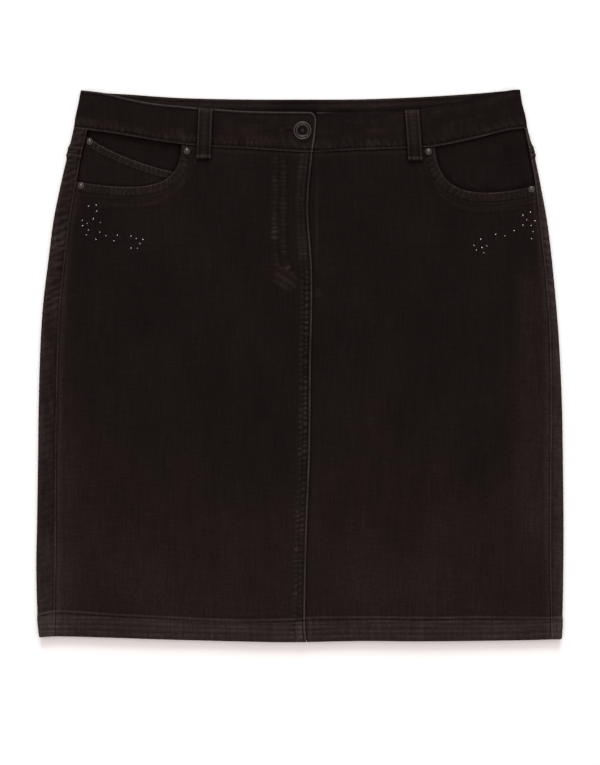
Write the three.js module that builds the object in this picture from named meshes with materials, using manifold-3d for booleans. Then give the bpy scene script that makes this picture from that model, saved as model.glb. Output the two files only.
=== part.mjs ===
// A knee-length black denim skirt, laid flat on its back. Millimetres.
// +X is to the right as the skirt is seen from above, +Y runs up the cloth from hem to waist, and +Z is up.
// The origin is on the surface that the skirt lies on, under the middle of its outline.
// "Right" and "left" are the wearer's own, so the right front lies on the -X side and laps over the left.
import * as THREE from "three";
import { mergeVertices } from "three/addons/utils/BufferGeometryUtils.js";
import Module from "manifold-3d";

const wasm = await Module();
wasm.setup();

// Cloth
const DENIM = 1.2;
const SEAM_GAP = 0.3;
const HALF_GAP = SEAM_GAP / 2;
const WAISTBAND_WALL = 2.2;
const WAISTBAND_PROUD = 0.7;
const WAISTBAND_DEPTH = 39;
const HEM_WALL = 2.6;
const HEM_DEPTH = 23;
const HEM_STEP = 0.6;
const BACK_HEM_SHORTER = 1.5;

// How high the front lies over the surface below the skirt
const FOLD_HEIGHT = 5.8;
const LOWER_HEIGHT = 5.4;
const UPPER_HEIGHT = 5.9;
const HEM_HEIGHT = 5.9;
const CENTRE_PILE = 0.8;
const FOLD_EASE = { from: 8, to: 60 };
const BODY_EASE = { from: 20, to: 60 };
const HEM_EASE = { from: 0, to: 70 };
const PILE_EASE_ACROSS = { from: 34, to: 95 };
const PILE_EASE_ALONG = { from: 185, to: 213 };

// Front opening and centre seam
const PANEL_UNDERLAP = 11;
const LAP_DIP = DENIM + SEAM_GAP;
const HEM_LAP_DIP = 0.4;
const LAP_EASE = { from: 1, to: 7 };
const LAP_STARTS_ABOVE_HEM = 20;
const BAND_UNDERLAP = 35;
const BAND_CORNER_RADIUS = 7;
const BAND_LAP_DIP = WAISTBAND_WALL + SEAM_GAP;
const BAND_LAP_EASE = { from: 1, to: 17 };
const ZIP_LENGTH = 142;
const ZIP_BESIDE_EDGE = { right: -15.6, left: 10.4 };
const ZIP_WALL = 1.1;
const ZIP_DEPTH = 2 * (DENIM + SEAM_GAP);

// Pockets
const COIN_WALL = 1.1;
const COIN_DEPTH = DENIM + SEAM_GAP;
const RIGHT_FACING_DEPTH = COIN_DEPTH + COIN_WALL + SEAM_GAP;
const LEFT_FACING_DEPTH = DENIM + SEAM_GAP;
const FACING_BEYOND_OPENING = 15;

// Belt loops and metal
const LOOP_WIDTH = 14;
const LOOP_WALL = 1.9;
const LOOP_FOOT_BELOW_SEAM = 12.5;
const LOOP_TOP_BELOW_EDGE = 0.6;
const BUTTON_RADIUS = 9;
const SHANK_RADIUS = 2.2;
const BUTTONHOLE_RADIUS = 2.8;
const RIVET_RADIUS = 2.9;

// Rows of the outline: where the side folds and the side seams lie at each height
const OUTLINE = [
  { y: 276, rightFold: -218.6, rightSeam: -202.5, leftSeam: 215.5, leftFold: 219.8 },
  { y: 262, rightFold: -221.1, rightSeam: -205.6, leftSeam: 217.9, leftFold: 221.8 },
  { y: 250, rightFold: -223.7, rightSeam: -208.4, leftSeam: 220.5, leftFold: 224.9 },
  { y: 236.5, rightFold: -225.9, rightSeam: -211.4, leftSeam: 224.0, leftFold: 227.3 },
  { y: 213, rightFold: -231.2, rightSeam: -217.1, leftSeam: 228.8, leftFold: 233.4 },
  { y: 186, rightFold: -237.6, rightSeam: -222.1, leftSeam: 233.9, leftFold: 239.1 },
  { y: 146, rightFold: -245.7, rightSeam: -228.7, leftSeam: 238.5, leftFold: 246.4 },
  { y: 106, rightFold: -250.9, rightSeam: -233.8, leftSeam: 243.0, leftFold: 251.4 },
  { y: 66, rightFold: -255.8, rightSeam: -237.9, leftSeam: 246.5, leftFold: 255.3 },
  { y: 26, rightFold: -258.7, rightSeam: -240.1, leftSeam: 248.7, leftFold: 258.5 },
  { y: -34, rightFold: -260.6, rightSeam: -241.7, leftSeam: 249.7, leftFold: 261.4 },
  { y: -94, rightFold: -261.4, rightSeam: -242.7, leftSeam: 249.2, leftFold: 262.5 },
  { y: -154, rightFold: -262.3, rightSeam: -243.0, leftSeam: 248.8, leftFold: 263.1 },
  { y: -204, rightFold: -263.1, rightSeam: -243.3, leftSeam: 249.0, leftFold: 262.9 },
  { y: -251, rightFold: -261.7, rightSeam: -244.0, leftSeam: 250.2, leftFold: 262.0 },
  { y: -276, rightFold: -259.2, rightSeam: -244.4, leftSeam: 250.8, leftFold: 260.7 },
];

// The waist: upper edge of the front band, its seam to the panels, and the upper edge of the back band
const WAIST = [
  { x: -223, frontTop: 275.4, frontSeam: 236.4, backTop: 275.4 },
  { x: -194, frontTop: 271.8, frontSeam: 232.8, backTop: 272.3 },
  { x: -169, frontTop: 265.8, frontSeam: 228.9, backTop: 270.8 },
  { x: -144, frontTop: 261.4, frontSeam: 224.5, backTop: 268.9 },
  { x: -119, frontTop: 259.0, frontSeam: 220.9, backTop: 267.4 },
  { x: -88, frontTop: 256.3, frontSeam: 218.1, backTop: 266.5 },
  { x: -50, frontTop: 253.8, frontSeam: 216.0, backTop: 265.9 },
  { x: 10, frontTop: 253.0, frontSeam: 212.8, backTop: 265.8 },
  { x: 60, frontTop: 252.8, frontSeam: 215.0, backTop: 266.1 },
  { x: 107, frontTop: 255.0, frontSeam: 216.6, backTop: 267.7 },
  { x: 133, frontTop: 258.0, frontSeam: 218.3, backTop: 269.0 },
  { x: 158, frontTop: 262.6, frontSeam: 222.8, backTop: 270.6 },
  { x: 183, frontTop: 269.2, frontSeam: 228.6, backTop: 272.4 },
  { x: 208, frontTop: 274.4, frontSeam: 234.8, backTop: 274.7 },
  { x: 224, frontTop: 275.8, frontSeam: 236.8, backTop: 275.8 },
];

// The bottom edge
const HEM_EDGE = [
  { x: -260, y: -270.9 },
  { x: -243, y: -269.9 },
  { x: -189, y: -271.2 },
  { x: -129, y: -273.2 },
  { x: -69, y: -274.7 },
  { x: -9, y: -275.7 },
  { x: 61, y: -274.5 },
  { x: 121, y: -274.8 },
  { x: 221, y: -273.8 },
  { x: 261, y: -272.7 },
];

// The lapped edge of the right front, from the waist seam to the hem
const CENTRE_EDGE = [
  { y: 213, x: 12.6 },
  { y: 160, x: 8.2 },
  { y: 93, x: 12.2 },
  { y: 0, x: 11.0 },
  { y: -84, x: 10.1 },
  { y: -174, x: 6.7 },
  { y: -254, x: 5.2 },
  { y: -276, x: 6.6 },
];

// The end of the right band over the left one
const BAND_END = [
  { y: 254, x: 15.6 },
  { y: 246, x: 16.2 },
  { y: 231, x: 15.2 },
  { y: 213, x: 12.7 },
];

// The back yoke seam, which rises from the centre back to the side seams
const YOKE_SEAM = [
  { fromCentre: 0, y: 182 },
  { fromCentre: 120, y: 201 },
  { fromCentre: 234, y: 212.5 },
];

// Soft swells where the front stands a little clear of the back
const SWELLS = [
  { x: -165, y: -262, halfWidth: 70, halfLength: 80, height: 0.4 },
  { x: -45, y: -268, halfWidth: 50, halfLength: 60, height: 0.3 },
  { x: 120, y: -265, halfWidth: 75, halfLength: 75, height: 0.4 },
  { x: 70, y: 90, halfWidth: 60, halfLength: 90, height: 0.3 },
  { x: -110, y: 40, halfWidth: 55, halfLength: 110, height: 0.6 },
  { x: 150, y: -90, halfWidth: 60, halfLength: 100, height: 0.7 },
];

// The curved edges of the pocket openings, from waist seam to side seam, and of the coin pocket's top
const RIGHT_POCKET_EDGE = {
  start: [-117.4, 222],
  pull1: [-118.5, 180],
  pull2: [-145, 171],
  end: [-223, 183.5],
};
const LEFT_POCKET_EDGE = {
  start: [133.5, 220],
  pull1: [136.5, 183],
  pull2: [155, 159.5],
  end: [236, 180],
};
const COIN_EDGE = {
  start: [-214.5, 230],
  pull: [-180, 205],
  end: [-119, 191.6],
};
const RIGHT_POCKET_LOW = 177;
const LEFT_POCKET_LOW = 172;
const COIN_POCKET_BOTTOM = 168;

const BELT_LOOPS = [
  { name: "belt_loop_right", footX: -96.0, topX: -93.9 },
  { name: "belt_loop_left", footX: 115.1, topX: 111.4 },
];

// How far each stretch of a belt loop stands over the cloth under it, from its foot to the top of the band
const LOOP_PROFILE = [
  { share: 0, clear: SEAM_GAP },
  { share: 0.15, clear: SEAM_GAP },
  { share: 0.22, clear: WAISTBAND_PROUD + 1.0 },
  { share: 0.3, clear: WAISTBAND_PROUD + 1.7 },
  { share: 0.5, clear: WAISTBAND_PROUD + 2.0 },
  { share: 0.75, clear: WAISTBAND_PROUD + 1.7 },
  { share: 0.88, clear: WAISTBAND_PROUD + 0.9 },
  { share: 0.95, clear: WAISTBAND_PROUD + SEAM_GAP },
  { share: 1, clear: WAISTBAND_PROUD + SEAM_GAP },
];

const RIVETS = [
  { name: "rivet_coin_pocket", x: -209.6, y: 223.6, depth: COIN_DEPTH },
  { name: "rivet_right_top", x: -112.6, y: 214.0, depth: 0 },
  { name: "rivet_right_side", x: -218.0, y: 179.2, depth: 0 },
  { name: "rivet_left_top", x: 128.2, y: 213.2, depth: 0 },
  { name: "rivet_left_side", x: 230.8, y: 175.8, depth: 0 },
];

const BUTTON = { x: 2.6, y: 233.9 };

const { clamp, lerp, smoothstep } = THREE.MathUtils;

// A smooth function through a table's rows: the value of one column where another has the value asked for
function through(rows, from, to) {
  const points = rows.map((row) => [row[from], row[to]]).sort((a, b) => a[0] - b[0]);
  const last = points.length - 1;
  const slopes = points.map((point, i) => {
    const before = points[Math.max(0, i - 1)];
    const after = points[Math.min(last, i + 1)];
    return (after[1] - before[1]) / (after[0] - before[0]);
  });
  return (at) => {
    const above = points.findIndex((point) => point[0] > at);
    const k = above < 0 ? last - 1 : Math.max(0, above - 1);
    const width = points[k + 1][0] - points[k][0];
    const rise = points[k + 1][1] - points[k][1];
    const t = clamp((at - points[k][0]) / width, 0, 1);
    const a = slopes[k] * width - rise;
    const b = rise - slopes[k + 1] * width;
    return points[k][1] + t * rise + t * (1 - t) * (a * (1 - t) + b * t);
  };
}

const rightFold = through(OUTLINE, "y", "rightFold");
const rightSeam = through(OUTLINE, "y", "rightSeam");
const leftSeam = through(OUTLINE, "y", "leftSeam");
const leftFold = through(OUTLINE, "y", "leftFold");
const frontTop = through(WAIST, "x", "frontTop");
const frontSeam = through(WAIST, "x", "frontSeam");
const backTop = through(WAIST, "x", "backTop");
const hemEdge = through(HEM_EDGE, "x", "y");
const centreEdge = through(CENTRE_EDGE, "y", "x");
const bandEnd = through(BAND_END, "y", "x");
const yokeRise = through(YOKE_SEAM, "fromCentre", "y");

const eased = (value, { from, to }) => smoothstep(value, from, to);
const backSeam = (x) => backTop(x) - WAISTBAND_DEPTH;
const backHemEdge = (x) => hemEdge(x) + BACK_HEM_SHORTER * (1 - smoothstep(Math.abs(x), 200, 255));
const hemTop = (x) => hemEdge(x) + HEM_DEPTH;
const inHem = (x, y) => y < hemTop(x) + HEM_STEP / 2;
const panelThickness = (x, y) => (inHem(x, y) ? HEM_WALL : DENIM);

// Height of the front's outer face over the surface that the skirt lies on
function frontHeight(x, y) {
  const inward = Math.min(x - rightFold(y), leftFold(y) - x);
  const body = lerp(LOWER_HEIGHT, UPPER_HEIGHT, eased(y, BODY_EASE));
  const hem = lerp(HEM_HEIGHT, body, eased(y - hemTop(x), HEM_EASE));
  const settled = lerp(FOLD_HEIGHT, hem, eased(inward, FOLD_EASE));
  const offCentre = Math.abs(x - centreEdge(y));
  const pile = CENTRE_PILE * (1 - eased(offCentre, PILE_EASE_ACROSS)) * eased(y, PILE_EASE_ALONG);
  const swell = SWELLS.reduce((sum, s) => {
    const away = Math.hypot((x - s.x) / s.halfWidth, (y - s.y) / s.halfLength);
    return sum + s.height * (1 - smoothstep(away, 0, 1));
  }, 0);
  return settled + pile + swell;
}

// How far the left front and the left end of the band sink to pass under the right ones
function panelLapDip(x, y) {
  const full = inHem(x, y) ? HEM_LAP_DIP : LAP_DIP;
  return full * (1 - eased(x - centreEdge(y), LAP_EASE));
}

function bandLapDip(x, y) {
  return BAND_LAP_DIP * (1 - eased(x - bandEnd(y), BAND_LAP_EASE));
}

// A closed wall: a grid of outer points, a grid of inner points, and the rim between them
function wall(columns, rows, pointsAt) {
  const outer = [];
  const inner = [];
  for (let j = 0; j <= rows; j++) {
    for (let i = 0; i <= columns; i++) {
      const [a, b] = pointsAt(i, j);
      outer.push(...a);
      inner.push(...b);
    }
  }
  const across = columns + 1;
  const layer = across * (rows + 1);
  const at = (i, j, side) => side * layer + j * across + i;
  const faces = [];
  const quad = (a, b, c, d) => faces.push(a, b, c, a, c, d);
  for (let j = 0; j < rows; j++) {
    for (let i = 0; i < columns; i++) {
      quad(at(i, j, 0), at(i + 1, j, 0), at(i + 1, j + 1, 0), at(i, j + 1, 0));
      quad(at(i, j, 1), at(i, j + 1, 1), at(i + 1, j + 1, 1), at(i + 1, j, 1));
    }
    quad(at(0, j, 0), at(0, j + 1, 0), at(0, j + 1, 1), at(0, j, 1));
    quad(at(columns, j, 0), at(columns, j, 1), at(columns, j + 1, 1), at(columns, j + 1, 0));
  }
  for (let i = 0; i < columns; i++) {
    quad(at(i, 0, 0), at(i, 0, 1), at(i + 1, 0, 1), at(i + 1, 0, 0));
    quad(at(i, rows, 0), at(i + 1, rows, 0), at(i + 1, rows, 1), at(i, rows, 1));
  }
  const geometry = new THREE.BufferGeometry();
  geometry.setAttribute("position", new THREE.Float32BufferAttribute([...outer, ...inner], 3));
  geometry.setIndex(faces);
  return geometry;
}

// Evenly spaced lines from one line to another, both included
function linesBetween(first, last, count) {
  return Array.from({ length: count + 1 }, (_, i) => (at) => lerp(first(at), last(at), i / count));
}

// Lines that run at set distances beside one line
function linesBeside(line, distances) {
  return distances.map((distance) => (at) => line(at) + distance);
}

// The rows of a panel: the hem's two edges and its step, then evenly up to the top
function hemmedRows(bottom, top, count) {
  const [start, turned, step] = linesBeside(bottom, [0, HEM_DEPTH, HEM_DEPTH + HEM_STEP]);
  return [start, turned, ...linesBetween(step, top, count)];
}

// A sheet of cloth is a row of stations across it. At any height, a station gives its outer and inner
// places, across and up. It is crossed by its rows. The two bend with each other, so the height at which
// they cross is settled in a few passes.
const SETTLING_PASSES = 6;

function sheet(stations) {
  return wall(stations.length - 1, stations[0].rows.length - 1, (i, j) => {
    const { place, rows } = stations[i];
    let y = 0;
    for (let pass = 0; pass < SETTLING_PASSES; pass++) y = rows[j](place(y)[0][0]);
    return place(y).map(([x, z]) => [x, y, z]);
  });
}

// Stations on the front, `depth` under its outer face
function frontStations({ columns, rows, depth, thickness }) {
  return columns.map((column) => ({
    rows,
    place: (y) => {
      const x = column(y);
      const z = frontHeight(x, y) - depth(x, y);
      return [[x, z], [x, z - thickness(x, y)]];
    },
  }));
}

// Stations on the surface that the skirt lies on
function floorStations({ columns, rows, thickness }) {
  return columns.map((column) => ({
    rows,
    place: (y) => [[column(y), 0], [column(y), thickness(column(y), y)]],
  }));
}

// Stations round a side fold, from floor to front. `side` is -1 at the wearer's right and 1 at the left.
const FOLD_CELLS = 8;
const foldRadius = (proud) => (FOLD_HEIGHT + proud) / 2;

function foldAxis(side, proud) {
  const fold = side < 0 ? rightFold : leftFold;
  return (y) => fold(y) - side * foldRadius(proud);
}

function foldStations({ side, proud, floorRows, frontRows, thickness }) {
  return Array.from({ length: FOLD_CELLS + 1 }, (_, i) => {
    const turn = (i / FOLD_CELLS) * Math.PI;
    const radius = foldRadius(proud);
    return {
      rows: i > FOLD_CELLS / 2 ? frontRows : floorRows,
      place: (y) => {
        const axisX = foldAxis(side, proud)(y);
        const onArc = (r) => [axisX + side * r * Math.sin(turn), radius - r * Math.cos(turn)];
        return [onArc(radius), onArc(radius - thickness(axisX, y))];
      },
    };
  });
}

// One half of the back: from the centre seam, along the floor, round the fold and up to the side seam
const FLOOR_CELLS = 5;
const STRIP_CELLS = 2;

function backSheet({ side, floorRows, frontRows, thickness }) {
  const axis = foldAxis(side, 0);
  const seam = (y) => (side < 0 ? rightSeam(y) : leftSeam(y)) + side * HALF_GAP;
  const floorColumns = linesBetween(() => side * HALF_GAP, axis, FLOOR_CELLS).slice(0, -1);
  const stripColumns = linesBetween(axis, seam, STRIP_CELLS).slice(1);
  const stations = [
    ...floorStations({ columns: floorColumns, rows: floorRows, thickness }),
    ...foldStations({ side, proud: 0, floorRows, frontRows, thickness }),
    ...frontStations({ columns: stripColumns, rows: frontRows, depth: () => 0, thickness }),
  ];
  return sheet(side < 0 ? stations : stations.reverse());
}

// Closed three.js geometry to a solid and back, for cutting
function solidOf(geometry) {
  const bare = geometry.clone();
  bare.deleteAttribute("normal");
  bare.deleteAttribute("uv");
  const merged = mergeVertices(bare, 1e-4);
  return new wasm.Manifold(
    new wasm.Mesh({
      numProp: 3,
      vertProperties: new Float32Array(merged.attributes.position.array),
      triVerts: new Uint32Array(merged.index.array),
    }),
  );
}

function geometryOf(solid) {
  const mesh = solid.getMesh();
  const geometry = new THREE.BufferGeometry();
  geometry.setAttribute("position", new THREE.Float32BufferAttribute(mesh.vertProperties, 3));
  geometry.setIndex([...mesh.triVerts]);
  return geometry;
}

// A flat shape as an upright block that reaches through every layer of the skirt
function blockOf(shape) {
  const geometry = new THREE.ExtrudeGeometry(shape, { depth: 30, bevelEnabled: false, curveSegments: 20 });
  return solidOf(geometry.translate(0, 0, -10));
}

// The hand opening of a front pocket, out to a line beyond the side seam and up into the waistband's place
function pocketOpening(edge, beyondSideX) {
  const insideBandY = 250;
  const shape = new THREE.Shape();
  shape.moveTo(...edge.start);
  shape.bezierCurveTo(...edge.pull1, ...edge.pull2, ...edge.end);
  shape.lineTo(beyondSideX, edge.end[1]);
  shape.lineTo(beyondSideX, insideBandY);
  shape.lineTo(edge.start[0], insideBandY);
  return blockOf(shape);
}

const rightFrontEdge = (y) => rightSeam(y) + HALF_GAP;
const leftFrontEdge = (y) => leftSeam(y) - HALF_GAP;
const panelTop = (x) => frontSeam(x) - HALF_GAP;

const PANEL_COLUMNS = 11;
const PANEL_ROWS = 21;

function frontRight() {
  const panel = sheet(frontStations({
    columns: linesBetween(rightFrontEdge, centreEdge, PANEL_COLUMNS),
    rows: hemmedRows(hemEdge, panelTop, PANEL_ROWS),
    depth: () => 0,
    thickness: panelThickness,
  }));
  return geometryOf(solidOf(panel).subtract(pocketOpening(RIGHT_POCKET_EDGE, -250)));
}

// The left panel meets the right one edge to edge in the hem, and runs under it above the hem
function frontLeft() {
  const underlapEdge = (y) => {
    const lapped = smoothstep(y, hemTop(0) + HEM_STEP, hemTop(0) + LAP_STARTS_ABOVE_HEM);
    return centreEdge(y) + lerp(SEAM_GAP, -PANEL_UNDERLAP, lapped);
  };
  const easeLines = linesBeside(centreEdge, [LAP_EASE.from, LAP_EASE.to / 2]);
  const panel = sheet(frontStations({
    columns: [
      underlapEdge,
      ...easeLines,
      ...linesBetween((y) => centreEdge(y) + LAP_EASE.to, leftFrontEdge, PANEL_COLUMNS),
    ],
    rows: hemmedRows(hemEdge, panelTop, PANEL_ROWS),
    depth: panelLapDip,
    thickness: panelThickness,
  }));
  return geometryOf(solidOf(panel).subtract(pocketOpening(LEFT_POCKET_EDGE, 250)));
}

const FACING_COLUMNS = 7;
const FACING_ROWS = 4;

function facingRight() {
  const innerEdge = () => RIGHT_POCKET_EDGE.start[0] + FACING_BEYOND_OPENING;
  return sheet(frontStations({
    columns: linesBetween(rightFrontEdge, innerEdge, FACING_COLUMNS),
    rows: linesBetween(() => RIGHT_POCKET_LOW - FACING_BEYOND_OPENING, panelTop, FACING_ROWS),
    depth: () => RIGHT_FACING_DEPTH,
    thickness: () => DENIM,
  }));
}

function facingLeft() {
  const innerEdge = () => LEFT_POCKET_EDGE.start[0] - FACING_BEYOND_OPENING;
  return sheet(frontStations({
    columns: linesBetween(innerEdge, leftFrontEdge, FACING_COLUMNS),
    rows: linesBetween(() => LEFT_POCKET_LOW - FACING_BEYOND_OPENING, panelTop, FACING_ROWS),
    depth: () => LEFT_FACING_DEPTH,
    thickness: () => DENIM,
  }));
}

function coinPocket() {
  const whole = sheet(frontStations({
    columns: linesBetween(rightFrontEdge, () => COIN_EDGE.end[0], FACING_COLUMNS),
    rows: linesBetween(() => COIN_POCKET_BOTTOM, () => COIN_EDGE.start[1], FACING_ROWS),
    depth: () => COIN_DEPTH,
    thickness: () => COIN_WALL,
  }));
  const beyondSideX = -230;
  const belowTop = new THREE.Shape();
  belowTop.moveTo(...COIN_EDGE.start);
  belowTop.quadraticCurveTo(...COIN_EDGE.pull, ...COIN_EDGE.end);
  belowTop.lineTo(COIN_EDGE.end[0], COIN_POCKET_BOTTOM);
  belowTop.lineTo(beyondSideX, COIN_POCKET_BOTTOM);
  return geometryOf(solidOf(whole).intersect(blockOf(belowTop)));
}

function zip() {
  const { right, left } = ZIP_BESIDE_EDGE;
  const top = (x) => frontSeam(x) - 1;
  return sheet(frontStations({
    columns: linesBeside(centreEdge, [right, right / 2, 0, left]),
    rows: linesBetween((x) => top(x) - ZIP_LENGTH, top, 8),
    depth: () => ZIP_DEPTH,
    thickness: () => ZIP_WALL,
  }));
}

// How far the band's top edge drops into the rounded corner at its right end
function cornerDrop(x) {
  const into = x - (BAND_END[0].x - BAND_CORNER_RADIUS);
  if (into <= 0) return 0;
  return BAND_CORNER_RADIUS - Math.sqrt(Math.max(0, BAND_CORNER_RADIUS ** 2 - into ** 2));
}

// The waistband is one long piece. It starts at the underlap in front, runs out over the left front, round
// the left fold, across the floor, round the right fold and over the right front to its rounded end.
function waistband() {
  const rowsUpTo = (seam, top) => linesBetween((x) => seam(x) + HALF_GAP, top, 3);
  const frontRows = rowsUpTo(frontSeam, frontTop);
  const endRows = rowsUpTo(frontSeam, (x) => frontTop(x) - cornerDrop(x));
  const floorRows = rowsUpTo(backSeam, backTop);
  const proud = WAISTBAND_PROUD;
  const thickness = () => WAISTBAND_WALL;
  const [leftAxis, rightAxis] = [foldAxis(1, proud), foldAxis(-1, proud)];

  const easedFrom = (y) => bandEnd(y) + BAND_LAP_EASE.to;
  const underlapLines = linesBeside(bandEnd, [-BAND_UNDERLAP, -BAND_UNDERLAP / 2, 1, 6, 11]);
  const leftLines = linesBetween(easedFrom, leftAxis, 10).slice(0, -1);
  const cornerStart = (y) => bandEnd(y) - BAND_CORNER_RADIUS;
  const rightLines = linesBetween(rightAxis, cornerStart, 12).slice(1);
  const cornerLines = linesBeside(bandEnd, [-4, -1.8, -0.5, 0]);
  const floorLines = linesBetween(leftAxis, rightAxis, 12).slice(1, -1);

  const whole = sheet([
    ...frontStations({
      columns: [...underlapLines, ...leftLines],
      rows: frontRows,
      depth: (x, y) => bandLapDip(x, y) - proud,
      thickness,
    }),
    ...foldStations({ side: 1, proud, floorRows, frontRows, thickness }).reverse(),
    ...floorStations({ columns: floorLines, rows: floorRows, thickness }),
    ...foldStations({ side: -1, proud, floorRows, frontRows, thickness }),
    ...frontStations({
      columns: [...rightLines, ...cornerLines],
      rows: endRows,
      depth: () => -proud,
      thickness,
    }),
  ]);
  return geometryOf(solidOf(whole).subtract(buttonhole()));
}

// The round end of the buttonhole, which passes the shank and stops short of the layers under it
function buttonhole() {
  const middle = frontHeight(BUTTON.x, BUTTON.y) + WAISTBAND_PROUD - WAISTBAND_WALL / 2;
  const length = WAISTBAND_WALL + SEAM_GAP;
  const cutter = new THREE.CylinderGeometry(BUTTONHOLE_RADIUS, BUTTONHOLE_RADIUS, length, 16);
  return solidOf(cutter.rotateX(Math.PI / 2).translate(BUTTON.x, BUTTON.y, middle));
}

function yoke(side) {
  const bottom = (x) => yokeRise(Math.abs(x)) + HALF_GAP;
  return backSheet({
    side,
    floorRows: linesBetween(bottom, (x) => backSeam(x) - HALF_GAP, 3),
    frontRows: linesBetween(bottom, panelTop, 3),
    thickness: () => DENIM,
  });
}

function backPanel(side) {
  const top = (x) => yokeRise(Math.abs(x)) - HALF_GAP;
  return backSheet({
    side,
    floorRows: hemmedRows(backHemEdge, top, PANEL_ROWS - 2),
    frontRows: hemmedRows(hemEdge, top, PANEL_ROWS - 2),
    thickness: panelThickness,
  });
}

function beltLoop({ footX, topX }) {
  const footY = frontSeam(footX) - LOOP_FOOT_BELOW_SEAM;
  const topY = frontTop(topX) - LOOP_TOP_BELOW_EDGE;
  return wall(2, LOOP_PROFILE.length - 1, (i, j) => {
    const { share, clear } = LOOP_PROFILE[j];
    const x = lerp(footX, topX, share) + (i / 2 - 0.5) * LOOP_WIDTH;
    const y = lerp(footY, topY, share);
    const z = frontHeight(x, y) + clear;
    return [[x, y, z + LOOP_WALL], [x, y, z]];
  });
}

// A turned piece standing along Z, from its profile of radius and height
function turned(profile, sides) {
  const points = profile.map(([radius, height]) => new THREE.Vector2(radius, height));
  return new THREE.LatheGeometry(points, sides).rotateX(Math.PI / 2);
}

// A riveted stud: a flange with a low dome
function rivet() {
  return turned([
    [0, 0],
    [RIVET_RADIUS, 0],
    [RIVET_RADIUS, 0.5],
    [RIVET_RADIUS * 0.8, 0.9],
    [RIVET_RADIUS * 0.62, 1.0],
    [RIVET_RADIUS * 0.4, 1.55],
    [0, 1.8],
  ], 14);
}

// A jeans button: a dished cap with a rim, a ring and a centre boss, on a shank through the buttonhole
function button() {
  const shankLength = WAISTBAND_WALL + SEAM_GAP;
  return turned([
    [0, -shankLength],
    [SHANK_RADIUS, -shankLength],
    [SHANK_RADIUS, 0],
    [BUTTON_RADIUS * 0.8, 0],
    [BUTTON_RADIUS, 1.0],
    [BUTTON_RADIUS, 1.9],
    [BUTTON_RADIUS * 0.94, 2.5],
    [BUTTON_RADIUS * 0.86, 2.5],
    [BUTTON_RADIUS * 0.78, 1.9],
    [BUTTON_RADIUS * 0.7, 2.1],
    [BUTTON_RADIUS * 0.58, 2.1],
    [BUTTON_RADIUS * 0.48, 1.2],
    [BUTTON_RADIUS * 0.2, 1.2],
    [BUTTON_RADIUS * 0.12, 1.9],
    [0, 2.0],
  ], 28);
}

const denim = new THREE.MeshStandardMaterial({ color: 0x1c1615, roughness: 0.92, metalness: 0 });
const zipTape = new THREE.MeshStandardMaterial({ color: 0x141212, roughness: 0.8, metalness: 0 });
const gunmetal = new THREE.MeshStandardMaterial({ color: 0x5d5552, roughness: 0.4, metalness: 0.9 });

const skirt = new THREE.Group();

function add(name, geometry, material) {
  const mesh = new THREE.Mesh(geometry, material);
  mesh.name = name;
  skirt.add(mesh);
  return mesh;
}

add("waistband", waistband(), denim);
add("front_right", frontRight(), denim);
add("front_left", frontLeft(), denim);
add("pocket_facing_right", facingRight(), denim);
add("pocket_facing_left", facingLeft(), denim);
add("coin_pocket", coinPocket(), denim);
add("yoke_right", yoke(-1), denim);
add("yoke_left", yoke(1), denim);
add("back_right", backPanel(-1), denim);
add("back_left", backPanel(1), denim);
add("zip", zip(), zipTape);

for (const loop of BELT_LOOPS) add(loop.name, beltLoop(loop), denim);

for (const { name, x, y, depth } of RIVETS) {
  const stud = add(name, rivet(), gunmetal);
  stud.position.set(x, y, frontHeight(x, y) - depth + SEAM_GAP);
}

const frontButton = add("button", button(), gunmetal);
frontButton.position.set(BUTTON.x, BUTTON.y, frontHeight(BUTTON.x, BUTTON.y) + WAISTBAND_PROUD + SEAM_GAP);

export default skirt;
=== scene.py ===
# The looks of a knee-length black denim skirt, laid flat on its back. Millimetres until a mesh is made.
# +X is to the right as the skirt is seen from above, +Y runs up the cloth from hem to waist, and +Z is up.
# "Right" and "left" are the wearer's own, so the right front lies on the -X side and laps over the left.
import math

import bpy
import numpy as np
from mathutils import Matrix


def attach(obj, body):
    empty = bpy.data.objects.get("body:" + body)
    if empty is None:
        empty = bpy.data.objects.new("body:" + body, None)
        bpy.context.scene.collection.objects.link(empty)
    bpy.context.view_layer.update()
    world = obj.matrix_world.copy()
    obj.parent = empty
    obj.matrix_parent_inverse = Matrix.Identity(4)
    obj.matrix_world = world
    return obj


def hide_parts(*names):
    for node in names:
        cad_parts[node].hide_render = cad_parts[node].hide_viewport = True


MM = 0.001


def table(columns, *rows):
    """A short table with named columns."""
    return {name: np.array([row[i] for row in rows], float) for i, name in enumerate(columns.split())}


def rows_of(rows):
    """The rows of such a table, one after another."""
    return zip(*rows.values())


# The sizes of the solids, repeated here so that each fine piece lies on its solid's form

DENIM = 1.2
SEAM_GAP = 0.3
HALF_GAP = SEAM_GAP / 2
WAISTBAND_WALL = 2.2
WAISTBAND_PROUD = 0.7
WAISTBAND_DEPTH = 39
HEM_WALL = 2.6
HEM_DEPTH = 23
HEM_STEP = 0.6
BACK_HEM_SHORTER = 1.5
FOLD_HEIGHT = 5.8
LOWER_HEIGHT = 5.4
UPPER_HEIGHT = 5.9
HEM_HEIGHT = 5.9
CENTRE_PILE = 0.8
FOLD_EASE = (8, 60)
BODY_EASE = (20, 60)
HEM_EASE = (0, 70)
PILE_EASE_ACROSS = (34, 95)
PILE_EASE_ALONG = (185, 213)
BACK_HEM_EASE = (200, 255)
PANEL_UNDERLAP = 11
LAP_DIP = DENIM + SEAM_GAP
HEM_LAP_DIP = 0.4
LAP_EASE = (1, 7)
LAP_STARTS_ABOVE_HEM = 20
BAND_UNDERLAP = 35
BAND_CORNER_RADIUS = 7
BAND_LAP_DIP = WAISTBAND_WALL + SEAM_GAP
BAND_LAP_EASE = (1, 17)
COIN_WALL = 1.1
COIN_DEPTH = DENIM + SEAM_GAP
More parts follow.
